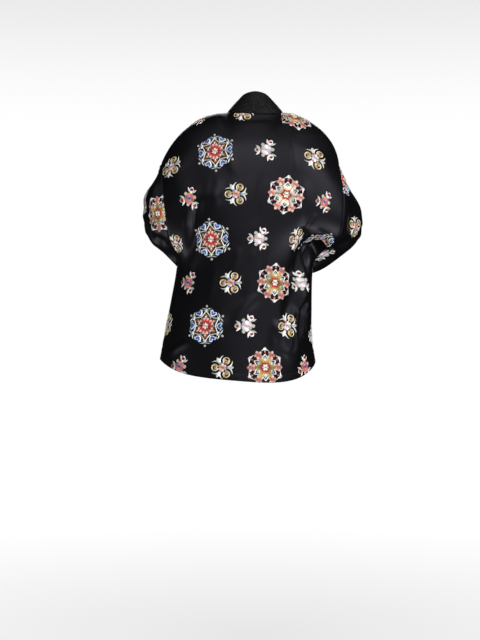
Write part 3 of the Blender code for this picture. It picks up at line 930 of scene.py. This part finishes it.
def linear(red, green, blue):
    """A thread colour from display values of 0 to 255."""
    shown = np.array([red, green, blue]) / 255
    return np.where(shown <= 0.04045, shown / 12.92, ((shown + 0.055) / 1.055) ** 2.4)


THREADS = {
    "white": linear(246, 245, 240),
    "cream": linear(236, 226, 198),
    "gold": linear(206, 178, 108),
    "olive": linear(134, 110, 56),
    "brown": linear(84, 44, 26),
    "ink": linear(22, 18, 18),
    "red": linear(202, 52, 48),
    "wine": linear(140, 34, 34),
    "orange": linear(218, 112, 78),
    "salmon": linear(216, 142, 130),
    "pink": linear(242, 200, 190),
    "blue": linear(46, 84, 176),
    "sky": linear(164, 190, 228),
    "lilac": linear(206, 194, 228),
    "sage": linear(180, 194, 180),
    "mint": linear(230, 238, 226),
}

PATCH_FLOOR = 0.0003  # height of the lowest patches' borders above the cloth
PATCH_LAYER = 0.00025  # height that each layer of patches adds
PATCH_CROWN = 0.0006  # how far the middle of a patch swells
PATCH_SUNK = 0.0002  # how far a patch's sides go down into the cloth
PATCH_END_POWER = 6  # how late a patch drops at its two ends
LEAF_TIP = 0.04  # least width of a leaf's ends, as a share of its belly
TAPER_TIP = 0.06
PATH_STEP = 0.01  # share of a path by which its direction is found
PATH_STOPS = 9  # places on a path between which its length is taken
# Painted sheen: a thread colour is made lighter or darker by the way its stitches lie: the least,
# what is added, the lightest way
PAINTED_SHEEN_LEAST = 0.60
PAINTED_SHEEN_SPAN = 0.80
PAINTED_SHEEN_WAY = np.array([0.26, 0.97])
CELL_MARGIN = 0.04  # share of a map's cell left free on each side of its patch


@functools.cache
def patch_grid(along, across):
    """A patch's grid, with one row of faces more on each side for its standing sides.

    Gives the grid's shares, the same drawn out to the top's border, and the corners of its faces.
    """
    bm = bmesh.new()
    bmesh.ops.create_grid(bm, x_segments=along + 2, y_segments=across + 2, size=0.5)
    bm.verts.index_update()
    shares = np.array([vertex.co[:2] for vertex in bm.verts]) + 0.5
    faces = np.array([[vertex.index for vertex in face.verts] for face in bm.faces])
    bm.free()
    parts = np.array([along, across])
    top = np.clip((np.rint(shares * (parts + 2)) - 1) / parts, 0, 1)
    return shares, top, faces


def leaf(half_width, swell=1.0, point=1.0):
    """A width that ends in points. swell moves the belly, and a low point rounds the ends."""
    return lambda u: half_width * np.maximum(np.sin(math.pi * u**swell), LEAF_TIP) ** point


def taper(half_width, power=0.8):
    return lambda u: half_width * np.maximum(1 - u, TAPER_TIP) ** power


def even(half_width):
    return lambda u: np.full_like(u, half_width)


def polar(place):
    reach, degrees = place
    angle = math.radians(degrees)
    return reach * np.array([math.cos(angle), math.sin(angle)])


class Motif:
    """Flat embroidery about its own middle, x to the right and y up, as arrays of raised patches.

    Lengths are shares of the motif's radius, and places are given as reach and angle in degrees.
    """

    def __init__(self, radius, draw, **threads):
        self.radius = radius
        self.patches = []
        draw(self, **threads)
        counts = [len(patch["flat"]) for patch in self.patches]
        firsts = np.concatenate([[0], np.cumsum(counts)[:-1]])
        for patch, first in zip(self.patches, firsts):
            patch["faces"] = patch["faces"] + first
        self.arrays = {
            name: np.concatenate([patch[name] for patch in self.patches])
            for name in self.patches[0]
        }
        self.arrays["patch"] = np.repeat(np.arange(len(counts)), counts)

    def lay(self, path, width, colours, layer, parts):
        """One patch of satin stitch along a path, as wide as width says at each share of it."""
        shares, top, faces = patch_grid(*parts)
        u, v = top[:, 0], 2 * top[:, 1] - 1
        tangent = unit(path(np.minimum(u + PATH_STEP, 1)) - path(np.maximum(u - PATH_STEP, 0)))
        aside = points_at(-tangent[:, 1], tangent[:, 0])
        places = self.radius * (path(u) + (v * width(u))[:, None] * aside)
        steps = np.diff(path(np.linspace(0, 1, PATH_STOPS)), axis=0)
        length = self.radius * np.linalg.norm(steps, axis=-1).sum()
        crown = PATCH_CROWN * (1 - v**2) * (1 - (2 * u - 1) ** PATCH_END_POWER)
        is_side = np.isclose(np.abs(shares - 0.5), 0.5).any(axis=-1)
        height = np.where(is_side, -PATCH_SUNK, PATCH_FLOOR + layer * PATCH_LAYER + crown)
        start, end = (THREADS[name] for name in colours)
        # Painted sheen, fixed in the thread colour by the direction of the stitches
        painted_sheen = PAINTED_SHEEN_LEAST + PAINTED_SHEEN_SPAN * (tangent @ PAINTED_SHEEN_WAY) ** 2
        colour = np.minimum((start + u[:, None] * (end - start)) * painted_sheen[:, None], 1.0)
        self.patches.append(
            {
                "flat": places,
                "height": height,
                "faces": faces,
                "thread": np.concatenate([colour, np.ones((len(u), 1))], axis=-1),
                "stitch": u * length,
                "share": shares,
            }
        )

    def stroke(self, places, width, colours, layer=0, parts=(5, 4)):
        """A patch between two places, or drawn aside towards the middle one of three."""
        start, *pull, end = (polar(place) for place in places)
        middle = pull[0] if pull else (start + end) / 2

        def path(u):
            u = u[:, None]
            return (1 - u) ** 2 * start + 2 * u * (1 - u) * middle + u**2 * end

        self.lay(path, width, colours, layer, parts)

    def ray(self, degrees, start, end, *look):
        """A straight patch outward from the middle."""
        self.stroke([(start, degrees), (end, degrees)], *look)

    def ring(self, place, radius, start, end, gain, half_width, colours, layer, parts):
        """A round patch between two angles. gain widens it, by its end, into a spiral."""

        def path(u):
            angle = np.radians(start + (end - start) * u)
            reach = radius * (1 + gain * u)
            return polar(place) + reach[:, None] * points_at(np.cos(angle), np.sin(angle))

        self.lay(path, even(half_width), colours, layer, parts)

    def disc(self, place, radius, colours, layer=0, parts=(6, 5)):
        middle, reach = polar(place), np.array([radius, 0.0])

        def path(u):
            return middle + (2 * u[:, None] - 1) * reach

        self.lay(path, leaf(radius, 1.0, 0.5), colours, layer, parts)

    def flower(self, place, petals, start, end, half_width, colours, layer, turn=90.0, point=0.6):
        """Petals round a place."""
        middle = polar(place)
        for number in range(petals):
            way = polar((1.0, turn + 360 / petals * number))

            def path(u):
                return middle + (start + (end - start) * u)[:, None] * way

            self.lay(path, leaf(half_width, 1.3, point), colours, layer, (4, 3))


MIDDLE = (0.0, 0.0)


def snow_star(m):
    """Six-pointed star medallion with blue hearts between its points."""
    for point in range(90, 450, 60):
        notch = point + 30
        m.ray(point, 0.34, 0.66, leaf(0.15, 0.9, 0.9), ("brown", "ink"))
        m.ray(point, 0.36, 0.58, leaf(0.085, 0.9), ("orange", "olive"), 1)
        m.stroke([(0.47, point - 30), (0.70, point)], even(0.021), ("cream", "white"), 2, (4, 2))
        m.stroke([(0.70, point), (0.47, notch)], even(0.021), ("white", "cream"), 2, (4, 2))
        for side in (-1, 1):
            lobe = [(0.52, notch), (0.82, notch + side * 9)]
            m.stroke(lobe, leaf(0.085, 1.3, 0.6), ("white", "sky"), 1)
            inner_lobe = [(0.57, notch), (0.78, notch + side * 8)]
            m.stroke(inner_lobe, leaf(0.054, 1.3, 0.6), ("blue", "blue"), 2)
            twig = [(0.76, point + side * 3), (0.83, point + side * 5), (0.85, point + side * 17)]
            m.stroke(twig, leaf(0.028, 0.8, 0.7), ("sage", "mint"), 0, (5, 2))
            tip = [(0.72, point + side * 12), (0.79, point + side * 20)]
            m.stroke(tip, leaf(0.022), ("sage", "mint"), 0, (4, 2))
            collar = [(0.70, point), (0.72, point + side * 9)]
            m.stroke(collar, leaf(0.026, 0.8, 0.6), ("white", "mint"), 3, (4, 2))
        m.ray(point, 0.68, 0.80, leaf(0.036, 0.8, 0.7), ("white", "sky"), 3, (4, 3))
        m.disc((0.82, point), 0.030, ("blue", "sky"), 4, (4, 3))
        m.disc((0.93, point), 0.054, ("pink", "white"), 2)
        m.disc((0.40, notch), 0.036, ("lilac", "lilac"), 3, (4, 3))
        m.flower((0.37, point), 3, 0.0, 0.105, 0.032, ("sage", "white"), 3, point - 120, 0.7)
    m.flower(MIDDLE, 12, 0.22, 0.40, 0.062, ("orange", "pink"), 2, 75)
    m.flower(MIDDLE, 12, 0.08, 0.31, 0.062, ("wine", "red"), 3)
    m.flower(MIDDLE, 6, 0.02, 0.17, 0.042, ("cream", "white"), 4)
    m.disc(MIDDLE, 0.040, ("gold", "cream"), 5, (4, 3))


def rosette(m, field=("gold", "white"), blossoms=("salmon", "pink")):
    """Round medallion of small flowers about a pale field."""
    m.flower(MIDDLE, 12, 0.16, 0.60, 0.125, field, 0, 75, 0.5)
    m.flower(MIDDLE, 12, 0.30, 0.60, 0.030, ("olive", "gold"), 1, 90, 0.7)
    for point in range(90, 450, 60):
        blossom = (0.73, point + 30)
        m.flower(blossom, 5, 0.02, 0.225, 0.084, blossoms, 2, point + 30, 0.45)
        m.flower(blossom, 5, 0.0, 0.10, 0.020, ("wine", "salmon"), 3, point + 66)
        m.disc(blossom, 0.026, ("cream", "gold"), 4, (4, 3))
        for side in (-1, 1):
            arch = [(0.47, point + side * 20), (0.68, point)]
            m.stroke(arch, even(0.028), ("cream", "white"), 2, (4, 2))
            # Painted shadow: a dark ink line along the inside of each cream arch
            arch_shadow = [(0.47, point + side * 12), (0.59, point)]
            m.stroke(arch_shadow, even(0.024), ("ink", "ink"), 3, (3, 2))
            horn = [(0.98, point), (0.90, point + side * 5), (0.87, point + side * 16)]
            m.stroke(horn, taper(0.062), ("white", "mint"), 2, (5, 2))
        m.ray(point, 0.33, 0.53, leaf(0.078, 1.0, 0.6), ("white", "sky"), 2)
        m.disc((0.44, point), 0.045, ("blue", "sky"), 3, (4, 3))
        m.ray(point, 0.85, 1.03, leaf(0.060, 0.9, 0.8), ("white", "lilac"), 3, (4, 3))
        m.ray(point, 0.71, 0.88, leaf(0.055, 1.0, 0.8), ("wine", "salmon"), 1, (4, 3))
    m.flower(MIDDLE, 6, 0.06, 0.31, 0.092, ("wine", "red"), 2, 60, 0.8)
    m.flower(MIDDLE, 6, 0.02, 0.19, 0.056, ("cream", "white"), 3, 60)
    m.disc(MIDDLE, 0.040, ("gold", "gold"), 4, (4, 3))


def trefoil(m, petals=("salmon", "pink"), heart=("wine", "gold"), links=("blue", "sky")):
    """Three gold scrolls and three lilies about a small flower."""
    for lily in (0, 120, 240):
        way = lily + 60
        scroll = (0.64, way)
        m.ring(scroll, 0.255, way + 190, way + 530, 0.05, 0.048, ("gold", "cream"), 1, (18, 3))
        m.ring(scroll, 0.13, way + 60, way + 320, 0.40, 0.030, ("cream", "gold"), 1, (9, 2))
        m.disc(scroll, 0.085, ("orange", "pink"), 2)
        m.ray(lily, 0.22, 0.52, leaf(0.105, 0.9, 0.6), links, 1)
        m.ray(lily, 0.40, 0.94, leaf(0.135, 1.1, 0.7), ("mint", "white"), 2)
        m.ray(lily, 0.58, 0.92, leaf(0.052, 1.0, 0.8), ("sage", "gold"), 3, (4, 2))
        for side in (-1, 1):
            horn = [(0.42, lily), (0.78, lily + side * 6), (0.99, lily + side * 33)]
            m.stroke(horn, taper(0.100, 0.75), ("mint", "white"), 1, (7, 3))
    m.flower(MIDDLE, 6, 0.05, 0.35, 0.125, petals, 2, 30, 0.45)
    m.flower(MIDDLE, 6, 0.02, 0.18, 0.045, heart, 3, 0)
    m.disc(MIDDLE, 0.055, ("gold", "olive"), 4, (4, 3))


def sprig(
    m, petals=("white", "lilac"), heart=("pink", "pink"), middle=("gold", "cream"), bud=0.145
):
    """Three buds, of a size that varies, and three round petals about a flower."""
    for way in (60, 180, 300):
        m.ray(way, 0.42, 1.00, leaf(0.215, 1.1, 0.55), ("mint", "white"), 1)
        m.disc((0.76, way), bud, ("red", "wine"), 2)
        m.ray(way, 0.36, 0.60, leaf(0.075), ("gold", "cream"), 2, (4, 2))
        for side in (-1, 1):
            wing = [(0.52, way), (0.66, way + side * 24), (0.98, way + side * 25)]
            m.stroke(wing, leaf(0.095, 0.8, 0.8), ("sage", "white"), 0, (6, 3))
        m.disc((0.53, way + 60), 0.150, ("white", "cream"), 1)
        m.disc((0.57, way + 60), 0.046, ("gold", "cream"), 2, (4, 3))
    m.flower(MIDDLE, 6, 0.06, 0.47, 0.190, petals, 2, 30, 0.5)
    m.flower(MIDDLE, 6, 0.03, 0.25, 0.075, heart, 3, 0)
    m.disc(MIDDLE, 0.085, middle, 4, (5, 4))


LILAC_SCROLLS = {
    "petals": ("lilac", "white"),
    "heart": ("lilac", "gold"),
    "links": ("red", "salmon"),
}
BLUE_SPRIG = {
    "petals": ("red", "salmon"),
    "heart": ("blue", "sky"),
    "middle": ("blue", "ink"),
    "bud": 0.175,
}
# Painted shade: a darker copy of the rose's colours, for the roses that get less light
SHADED_ROSE = {"field": ("olive", "gold"), "blossoms": ("wine", "pink")}
MOTIFS = {
    "star": Motif(0.0590, snow_star),
    "rose": Motif(0.0535, rosette),
    "gold_rose": Motif(0.0535, rosette, **SHADED_ROSE),
    "pink_scrolls": Motif(0.0330, trefoil),
    "lilac_scrolls": Motif(0.0360, trefoil, **LILAC_SCROLLS),
    "pale_sprig": Motif(0.0335, sprig),
    "blue_sprig": Motif(0.0335, sprig, **BLUE_SPRIG),
}
ODD_ROW = ("star", "pale_sprig", "lilac_scrolls")
EVEN_ROW = ("blue_sprig", "pink_scrolls", "rose")
SHADED_ROSE_ROW = ("blue_sprig", "pink_scrolls", "gold_rose")

# Rows of motifs on the back: fall, cycle of kinds, the first one's place in the cycle, then the
# distance across of each, from the left, with how far in degrees the cloth has turned it, and, where
# the cloth is gathered, the share of its width that it keeps
BACK_ROWS = (
    (0.060, SHADED_ROSE_ROW, 0, (0.166, 0), (0.026, 0), (-0.120, 0)),
    (0.203, ODD_ROW, 2, (0.268, 0), (0.116, 0), (-0.042, 0), (-0.206, 0)),
    (0.326, EVEN_ROW, 0, (0.206, 0, 0.84), (0.050, 0), (-0.104, -6), (-0.232, 8, 0.76)),
    (0.450, ODD_ROW, 2, (0.280, -22), (0.122, 0), (-0.030, 0), (-0.150, 0, 0.66)),
    (0.462, ODD_ROW, 0, (-0.254, -3)),
    (0.572, SHADED_ROSE_ROW, 0, (0.182, 0), (0.038, 0), (-0.090, -5)),
    (0.572, ODD_ROW, 1, (-0.188, 25)),
    (0.692, ODD_ROW, 2, (0.272, 0), (0.092, 0), (-0.018, 0), (-0.138, 0, 0.84)),
    (0.725, ODD_ROW, 1, (-0.280, 0)),
    (0.806, SHADED_ROSE_ROW, 0, (0.162, 0), (0.038, 0), (-0.070, 0), (-0.202, 30)),
)
# The repeat on the fronts
FRONT_FIRST_FALL = 0.050
FRONT_FIRST_ACROSS = 0.125
FRONT_ROWS = 8
ROW_PITCH = 0.1215
COLUMN_PITCH = 0.150

# Motifs on the sleeves: kind, length from the armhole, and distance round from the top, with the back
# positive
LEFT_SLEEVE_MOTIFS = (
    ("gold_rose", 0.037, 0.155),
    ("blue_sprig", 0.042, -0.005),
    ("pink_scrolls", 0.040, -0.125),
    ("pale_sprig", 0.046, -0.245),
    ("star", 0.165, 0.085),
    ("lilac_scrolls", 0.150, -0.090),
    ("star", 0.170, -0.235),
    ("pink_scrolls", 0.285, 0.010),
    ("rose", 0.288, -0.190),
    ("blue_sprig", 0.285, 0.205),
    ("star", 0.400, 0.100),
    ("pale_sprig", 0.398, -0.130),
)
RIGHT_SLEEVE_MOTIFS = (
    ("star", 0.025, 0.055),
    ("pink_scrolls", 0.125, 0.175),
    ("pale_sprig", 0.016, 0.268),
    ("lilac_scrolls", 0.010, -0.262),
    ("blue_sprig", 0.152, -0.025),
    ("rose", 0.158, -0.180),
    ("pale_sprig", 0.270, 0.165),
    ("star", 0.262, -0.060),
    ("pale_sprig", 0.272, -0.205),
    ("rose", 0.388, 0.080),
    ("blue_sprig", 0.386, -0.150),
)


def back_places():
    for fall, cycle, start, *row in BACK_ROWS:
        for number, (across, *set_by_cloth) in enumerate(row):
            yield cycle[(start + number) % 3], (across, fall), *set_by_cloth


def front_places(side):
    """The same half-drop repeat, carried on over a front."""
    for row in range(FRONT_ROWS):
        cycle = (EVEN_ROW, ODD_ROW)[row % 2]
        for column in range(-1, 3):
            across = side * (FRONT_FIRST_ACROSS + COLUMN_PITCH * (column + row % 2 / 2))
            yield cycle[(column + row // 2 + 1) % 3], (across, FRONT_FIRST_FALL + ROW_PITCH * row)


def sleeve_places(motifs):
    for kind, along, around in motifs:
        yield kind, (along, around)


def laid_motif(panel, kind, middle, turn=0, gathered=1.0):
    """A motif's arrays, with its points laid on a panel and faces beyond its edges cut off."""
    arrays = dict(MOTIFS[kind].arrays)
    angle = math.radians(turn)
    spin = np.array([[math.cos(angle), math.sin(angle)], [-math.sin(angle), math.cos(angle)]])
    wanted = panel.spread(middle, arrays["flat"] @ spin * (gathered, 1.0)).T
    kept = np.array(panel.trim(*wanted))
    inside = np.abs(kept - wanted).max(axis=0) < 1e-6
    if panel is back_panel and kind == "star":
        edge = np.interp(wanted[0], TUCK_ACROSS, TUCK_FALL, right=TUCK_END)
        inside &= (wanted[1] < edge) | (wanted[1] > TUCK_END)
    shown = arrays["faces"][inside[arrays["faces"]].any(axis=1)]
    used, faces = np.unique(shown, return_inverse=True)
    arrays = {name: values[used] for name, values in arrays.items() if name != "faces"}
    arrays["faces"] = faces.reshape(shown.shape)
    arrays["points"] = panel.lifted(*kept[:, used], arrays["height"])
    return arrays


def joined(copies, name, counts):
    """One array from those of many copies. Numbers of points or patches go on from copy to copy."""
    firsts = np.concatenate([[0], np.cumsum(counts)[:-1]]).astype(int)
    return np.concatenate([copy[name] + first for copy, first in zip(copies, firsts)])


def add_attribute(mesh, name, kind, values):
    layer = mesh.attributes.new(name, kind, "POINT")
    field = "color" if kind == "FLOAT_COLOR" else "value"
    layer.data.foreach_set(field, values.astype(np.float32).ravel())


def embroidery_piece(node, panel, places):
    """One panel's motifs as one mesh, with thread colours and a map that gives each patch a cell."""
    name = node + "_embroidery"
    copies = [laid_motif(panel, *place) for place in places]
    copies = [copy for copy in copies if len(copy["faces"])]
    nothing = np.zeros(len(copies))
    counts = [len(copy["points"]) for copy in copies]
    mesh = bpy.data.meshes.new(name)
    mesh.from_pydata(joined(copies, "points", nothing), [], joined(copies, "faces", counts))
    add_attribute(mesh, "thread", "FLOAT_COLOR", joined(copies, "thread", nothing))
    add_attribute(mesh, "stitch", "FLOAT", joined(copies, "stitch", nothing))
    patch = joined(copies, "patch", [copy["patch"].max() + 1 for copy in copies])
    side = math.ceil(math.sqrt(patch.max() + 1))
    cell = points_at(patch % side, patch // side)
    in_cell = CELL_MARGIN + (1 - 2 * CELL_MARGIN) * joined(copies, "share", nothing)
    add_map(mesh, "OFBake", (cell + in_cell) / side)
    mesh.shade_smooth()
    return new_piece(name, mesh, silk)


motif_places = {
    "back": (back_panel, back_places()),
    "front_left": (left_panel, front_places(1)),
    "front_right": (right_panel, front_places(-1)),
    "sleeve_left": (left_sleeve, sleeve_places(LEFT_SLEEVE_MOTIFS)),
    "sleeve_right": (right_sleeve, sleeve_places(RIGHT_SLEEVE_MOTIFS)),
}
embroidery = {node: embroidery_piece(node, *places) for node, places in motif_places.items()}


# Sewing

STITCH_STEP = 0.0036
STITCH_SIZE = np.array([0.0025, 0.00055, 0.0004])  # length, width and height of a stitch
STITCH_HEIGHT = 0.0002  # of its middle, above the cloth
STITCH_PROBE = 0.0008  # distance by which a stitch's direction is found
ROW_STATIONS = 400  # places that a row of stitching is drawn through
HEM_ROWS = (0.002, 0.009)  # rows of stitching on a hem, from its turned-in edge
NECK_ROW = 0.012  # the row below the back neckline, from the seam
FRONT_ROW = 0.006  # the row beside the band's seam
FRONT_ROW_ENDS = (0.012, 0.002)  # what that row leaves free above and below


def stitch_rows():
    """Rows of stitching, as a panel and the cut coordinates of a line on it."""
    fine = np.linspace(0, 1, ROW_STATIONS)
    for panel, start, end in (
        (back_panel, -BACK_HALF, BACK_HALF),
        (left_panel, NECK_HALF, BACK_HALF),
        (right_panel, -BACK_HALF, -NECK_HALF),
    ):
        across = start + (end - start) * fine
        for row in HEM_ROWS:
            yield panel, across, hem_fall(across / BACK_HALF) - HEM_TURN + row
    neck = NECK_HALF * (2 * fine - 1)
    yield back_panel, neck, top_fall(neck / BACK_HALF) + NECK_ROW
    for panel, side in ((left_panel, 1), (right_panel, -1)):
        across = np.full_like(fine, side * (NECK_HALF + FRONT_ROW))
        end = hem_fall(np.array([side * NECK_HALF / BACK_HALF]))[0]
        yield panel, across, FRONT_ROW_ENDS[0] + (end - sum(FRONT_ROW_ENDS)) * fine
    for panel in (left_sleeve, right_sleeve):
        around = SLEEVE_HALF_GIRTH * (2 * fine - 1)
        yield panel, np.full_like(fine, SLEEVE_LENGTH - HEM_TURN + HEM_ROWS[0]), around


def stitching_piece():
    """All the stitches as one mesh: a small ball stretched along the line at each of them."""
    bm = bmesh.new()
    bmesh.ops.create_icosphere(bm, subdivisions=1, radius=0.5)
    bm.verts.index_update()
    ball = np.array([vertex.co for vertex in bm.verts]) * STITCH_SIZE
    faces = np.array([[vertex.index for vertex in face.verts] for face in bm.faces])
    bm.free()
    points = []
    for panel, first, second in stitch_rows():
        line = panel.points(first, second)
        run = np.concatenate([[0], np.cumsum(np.linalg.norm(np.diff(line, axis=0), axis=-1))])
        stops = np.arange(STITCH_STEP / 2, run[-1] - STITCH_STEP / 2, STITCH_STEP)
        at = [np.interp(stops, run, cut) for cut in (first, second)]
        ahead = [np.interp(stops + STITCH_PROBE, run, cut) for cut in (first, second)]
        middles = panel.lifted(*at, STITCH_HEIGHT)
        normals = normals_of(panel.surface, *at, panel.facing)
        ways = unit(panel.lifted(*ahead, STITCH_HEIGHT) - middles)
        turns = np.stack([ways, np.cross(normals, ways), normals], axis=1)
        points.append(middles[:, None] + ball @ turns)
    points = np.concatenate(points)
    starts = len(ball) * np.arange(len(points))[:, None, None]
    mesh = bpy.data.meshes.new("stitching")
    mesh.from_pydata(points.reshape(-1, 3), [], (faces + starts).reshape(-1, 3))
    mesh.shade_smooth()
    new_piece("stitching", mesh, sewing)


stitching_piece()


# Hide the solids that the cloth pieces replace

for node, piece in cloth.items():
    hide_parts(node)


# Stage, light and camera

FLOOR_RADIUS = 40.0
FLOOR_BRIGHT = 3.2  # distance from the middle at which the floor is white
BACKDROP_FROM = 0.13  # sines of the heights between which the backdrop turns greyer
BACKDROP_TO = 0.25
BACKDROP_GREY = 0.80
ROOM_LIGHT = 0.01
LIT_PLACE = np.array([0.0, 0.1, -0.38])
LIGHT_DISTANCE = 3.2
LIGHT_SIZE = 1.9
# Angles to the right of the camera's side and above it, in degrees, and watts
LIGHTS = {
    "front": (0, 34, 39.0),
    "right_side": (55, 34, 41.0),
    "left_side": (-55, 50, 11.0),
    "overhead": (0, 75, 9.0),
    "floor_bounce": (28, -30, 86.0),
    "left_bounce": (-85, -30, 39.0),
    "far_side": (180, 25, 56.0),
}


def floor_piece():
    bm = bmesh.new()
    bmesh.ops.create_circle(bm, cap_ends=True, segments=96, radius=FLOOR_RADIUS)
    bmesh.ops.translate(bm, vec=(0.0, 0.0, FLOOR_LEVEL), verts=bm.verts)
    mesh = bpy.data.meshes.new("floor")
    bm.to_mesh(mesh)
    bm.free()
    finish = Finish("pale_floor", Metallic=0.0, Roughness=0.9, Specular_IOR_Level=0.1)
    place = finish.node("ShaderNodeTexCoord", output="Object")
    flat = finish.scaled(place, (1.0, 1.0, 0.0))
    far = finish.node("ShaderNodeVectorMath", {"operation": "LENGTH"}, {0: flat}, "Value")
    # Painted light: the floor glows instead of being lit, three quarters grey at the middle and white
    # from FLOOR_BRIGHT out
    bright = far.between(-FLOOR_BRIGHT, FLOOR_BRIGHT)
    finish.feed("Base Color", grey(0.05))
    finish.feed("Emission Color", finish.mixed(bright, grey(0.50), grey(1.0)))
    finish.feed("Emission Strength", 1.0)
    mesh.materials.append(finish.material)
    floor = bpy.data.objects.new("floor", mesh)
    floor.visible_diffuse = False
    floor.visible_glossy = False
    floor.visible_shadow = False
    bpy.context.scene.collection.objects.link(floor)


def soft_light(name, turn, rise, power):
    """A round soft light that faces the coat."""
    lamp = bpy.data.lights.new(name, "AREA")
    lamp.shape = "DISK"
    lamp.size = LIGHT_SIZE
    lamp.energy = power
    light = bpy.data.objects.new(name, lamp)
    across, up = math.radians(turn), math.radians(rise)
    level = math.cos(up)
    way = np.array([-math.sin(across) * level, math.cos(across) * level, math.sin(up)])
    light.location = LIT_PLACE + LIGHT_DISTANCE * way
    light.rotation_euler = (math.pi / 2 - up, 0.0, math.pi + across)
    light.visible_camera = False
    bpy.context.scene.collection.objects.link(light)


def studio():
    """A white backdrop for the eye, greyer high up, and a dim room for the light on the cloth."""
    scene = bpy.context.scene
    scene.view_settings.view_transform = "Standard"
    world = bpy.data.worlds.new("studio")
    scene.world = world
    world.use_nodes = True
    nodes = Nodes(world.node_tree)
    room = nodes.tree.nodes["Background"]
    room.inputs["Color"].default_value = grey(1.0)
    room.inputs["Strength"].default_value = ROOM_LIGHT
    place = nodes.node("ShaderNodeTexCoord", output="Generated")
    height = nodes.node("ShaderNodeSeparateXYZ", None, {0: place}, "Z")
    high = height.between(BACKDROP_FROM, BACKDROP_TO)
    shade = nodes.mixed(high, grey(1.0), grey(BACKDROP_GREY))
    backdrop = nodes.node("ShaderNodeBackground", None, {"Color": shade, "Strength": 1.0})
    seen = nodes.node("ShaderNodeLightPath", output="Is Camera Ray")
    shaders = {0: seen, 1: Socket(nodes, room.outputs[0]), 2: backdrop}
    mix = nodes.node("ShaderNodeMixShader", None, shaders)
    nodes.set(nodes.tree.nodes["World Output"].inputs["Surface"], mix)
    for name, setting in LIGHTS.items():
        soft_light(name, *setting)


def camera():
    lens = bpy.data.cameras.new("camera")
    lens.sensor_fit = "VERTICAL"
    lens.sensor_height = 36.0
    lens.lens = lens.sensor_height * CAMERA_DISTANCE / VIEW_HEIGHT
    eye = bpy.data.objects.new("camera", lens)
    eye.location = CAMERA_PLACE
    eye.rotation_euler = (math.pi / 2, 0.0, math.pi)
    bpy.context.scene.collection.objects.link(eye)
    bpy.context.scene.camera = eye


floor_piece()
studio()
camera()
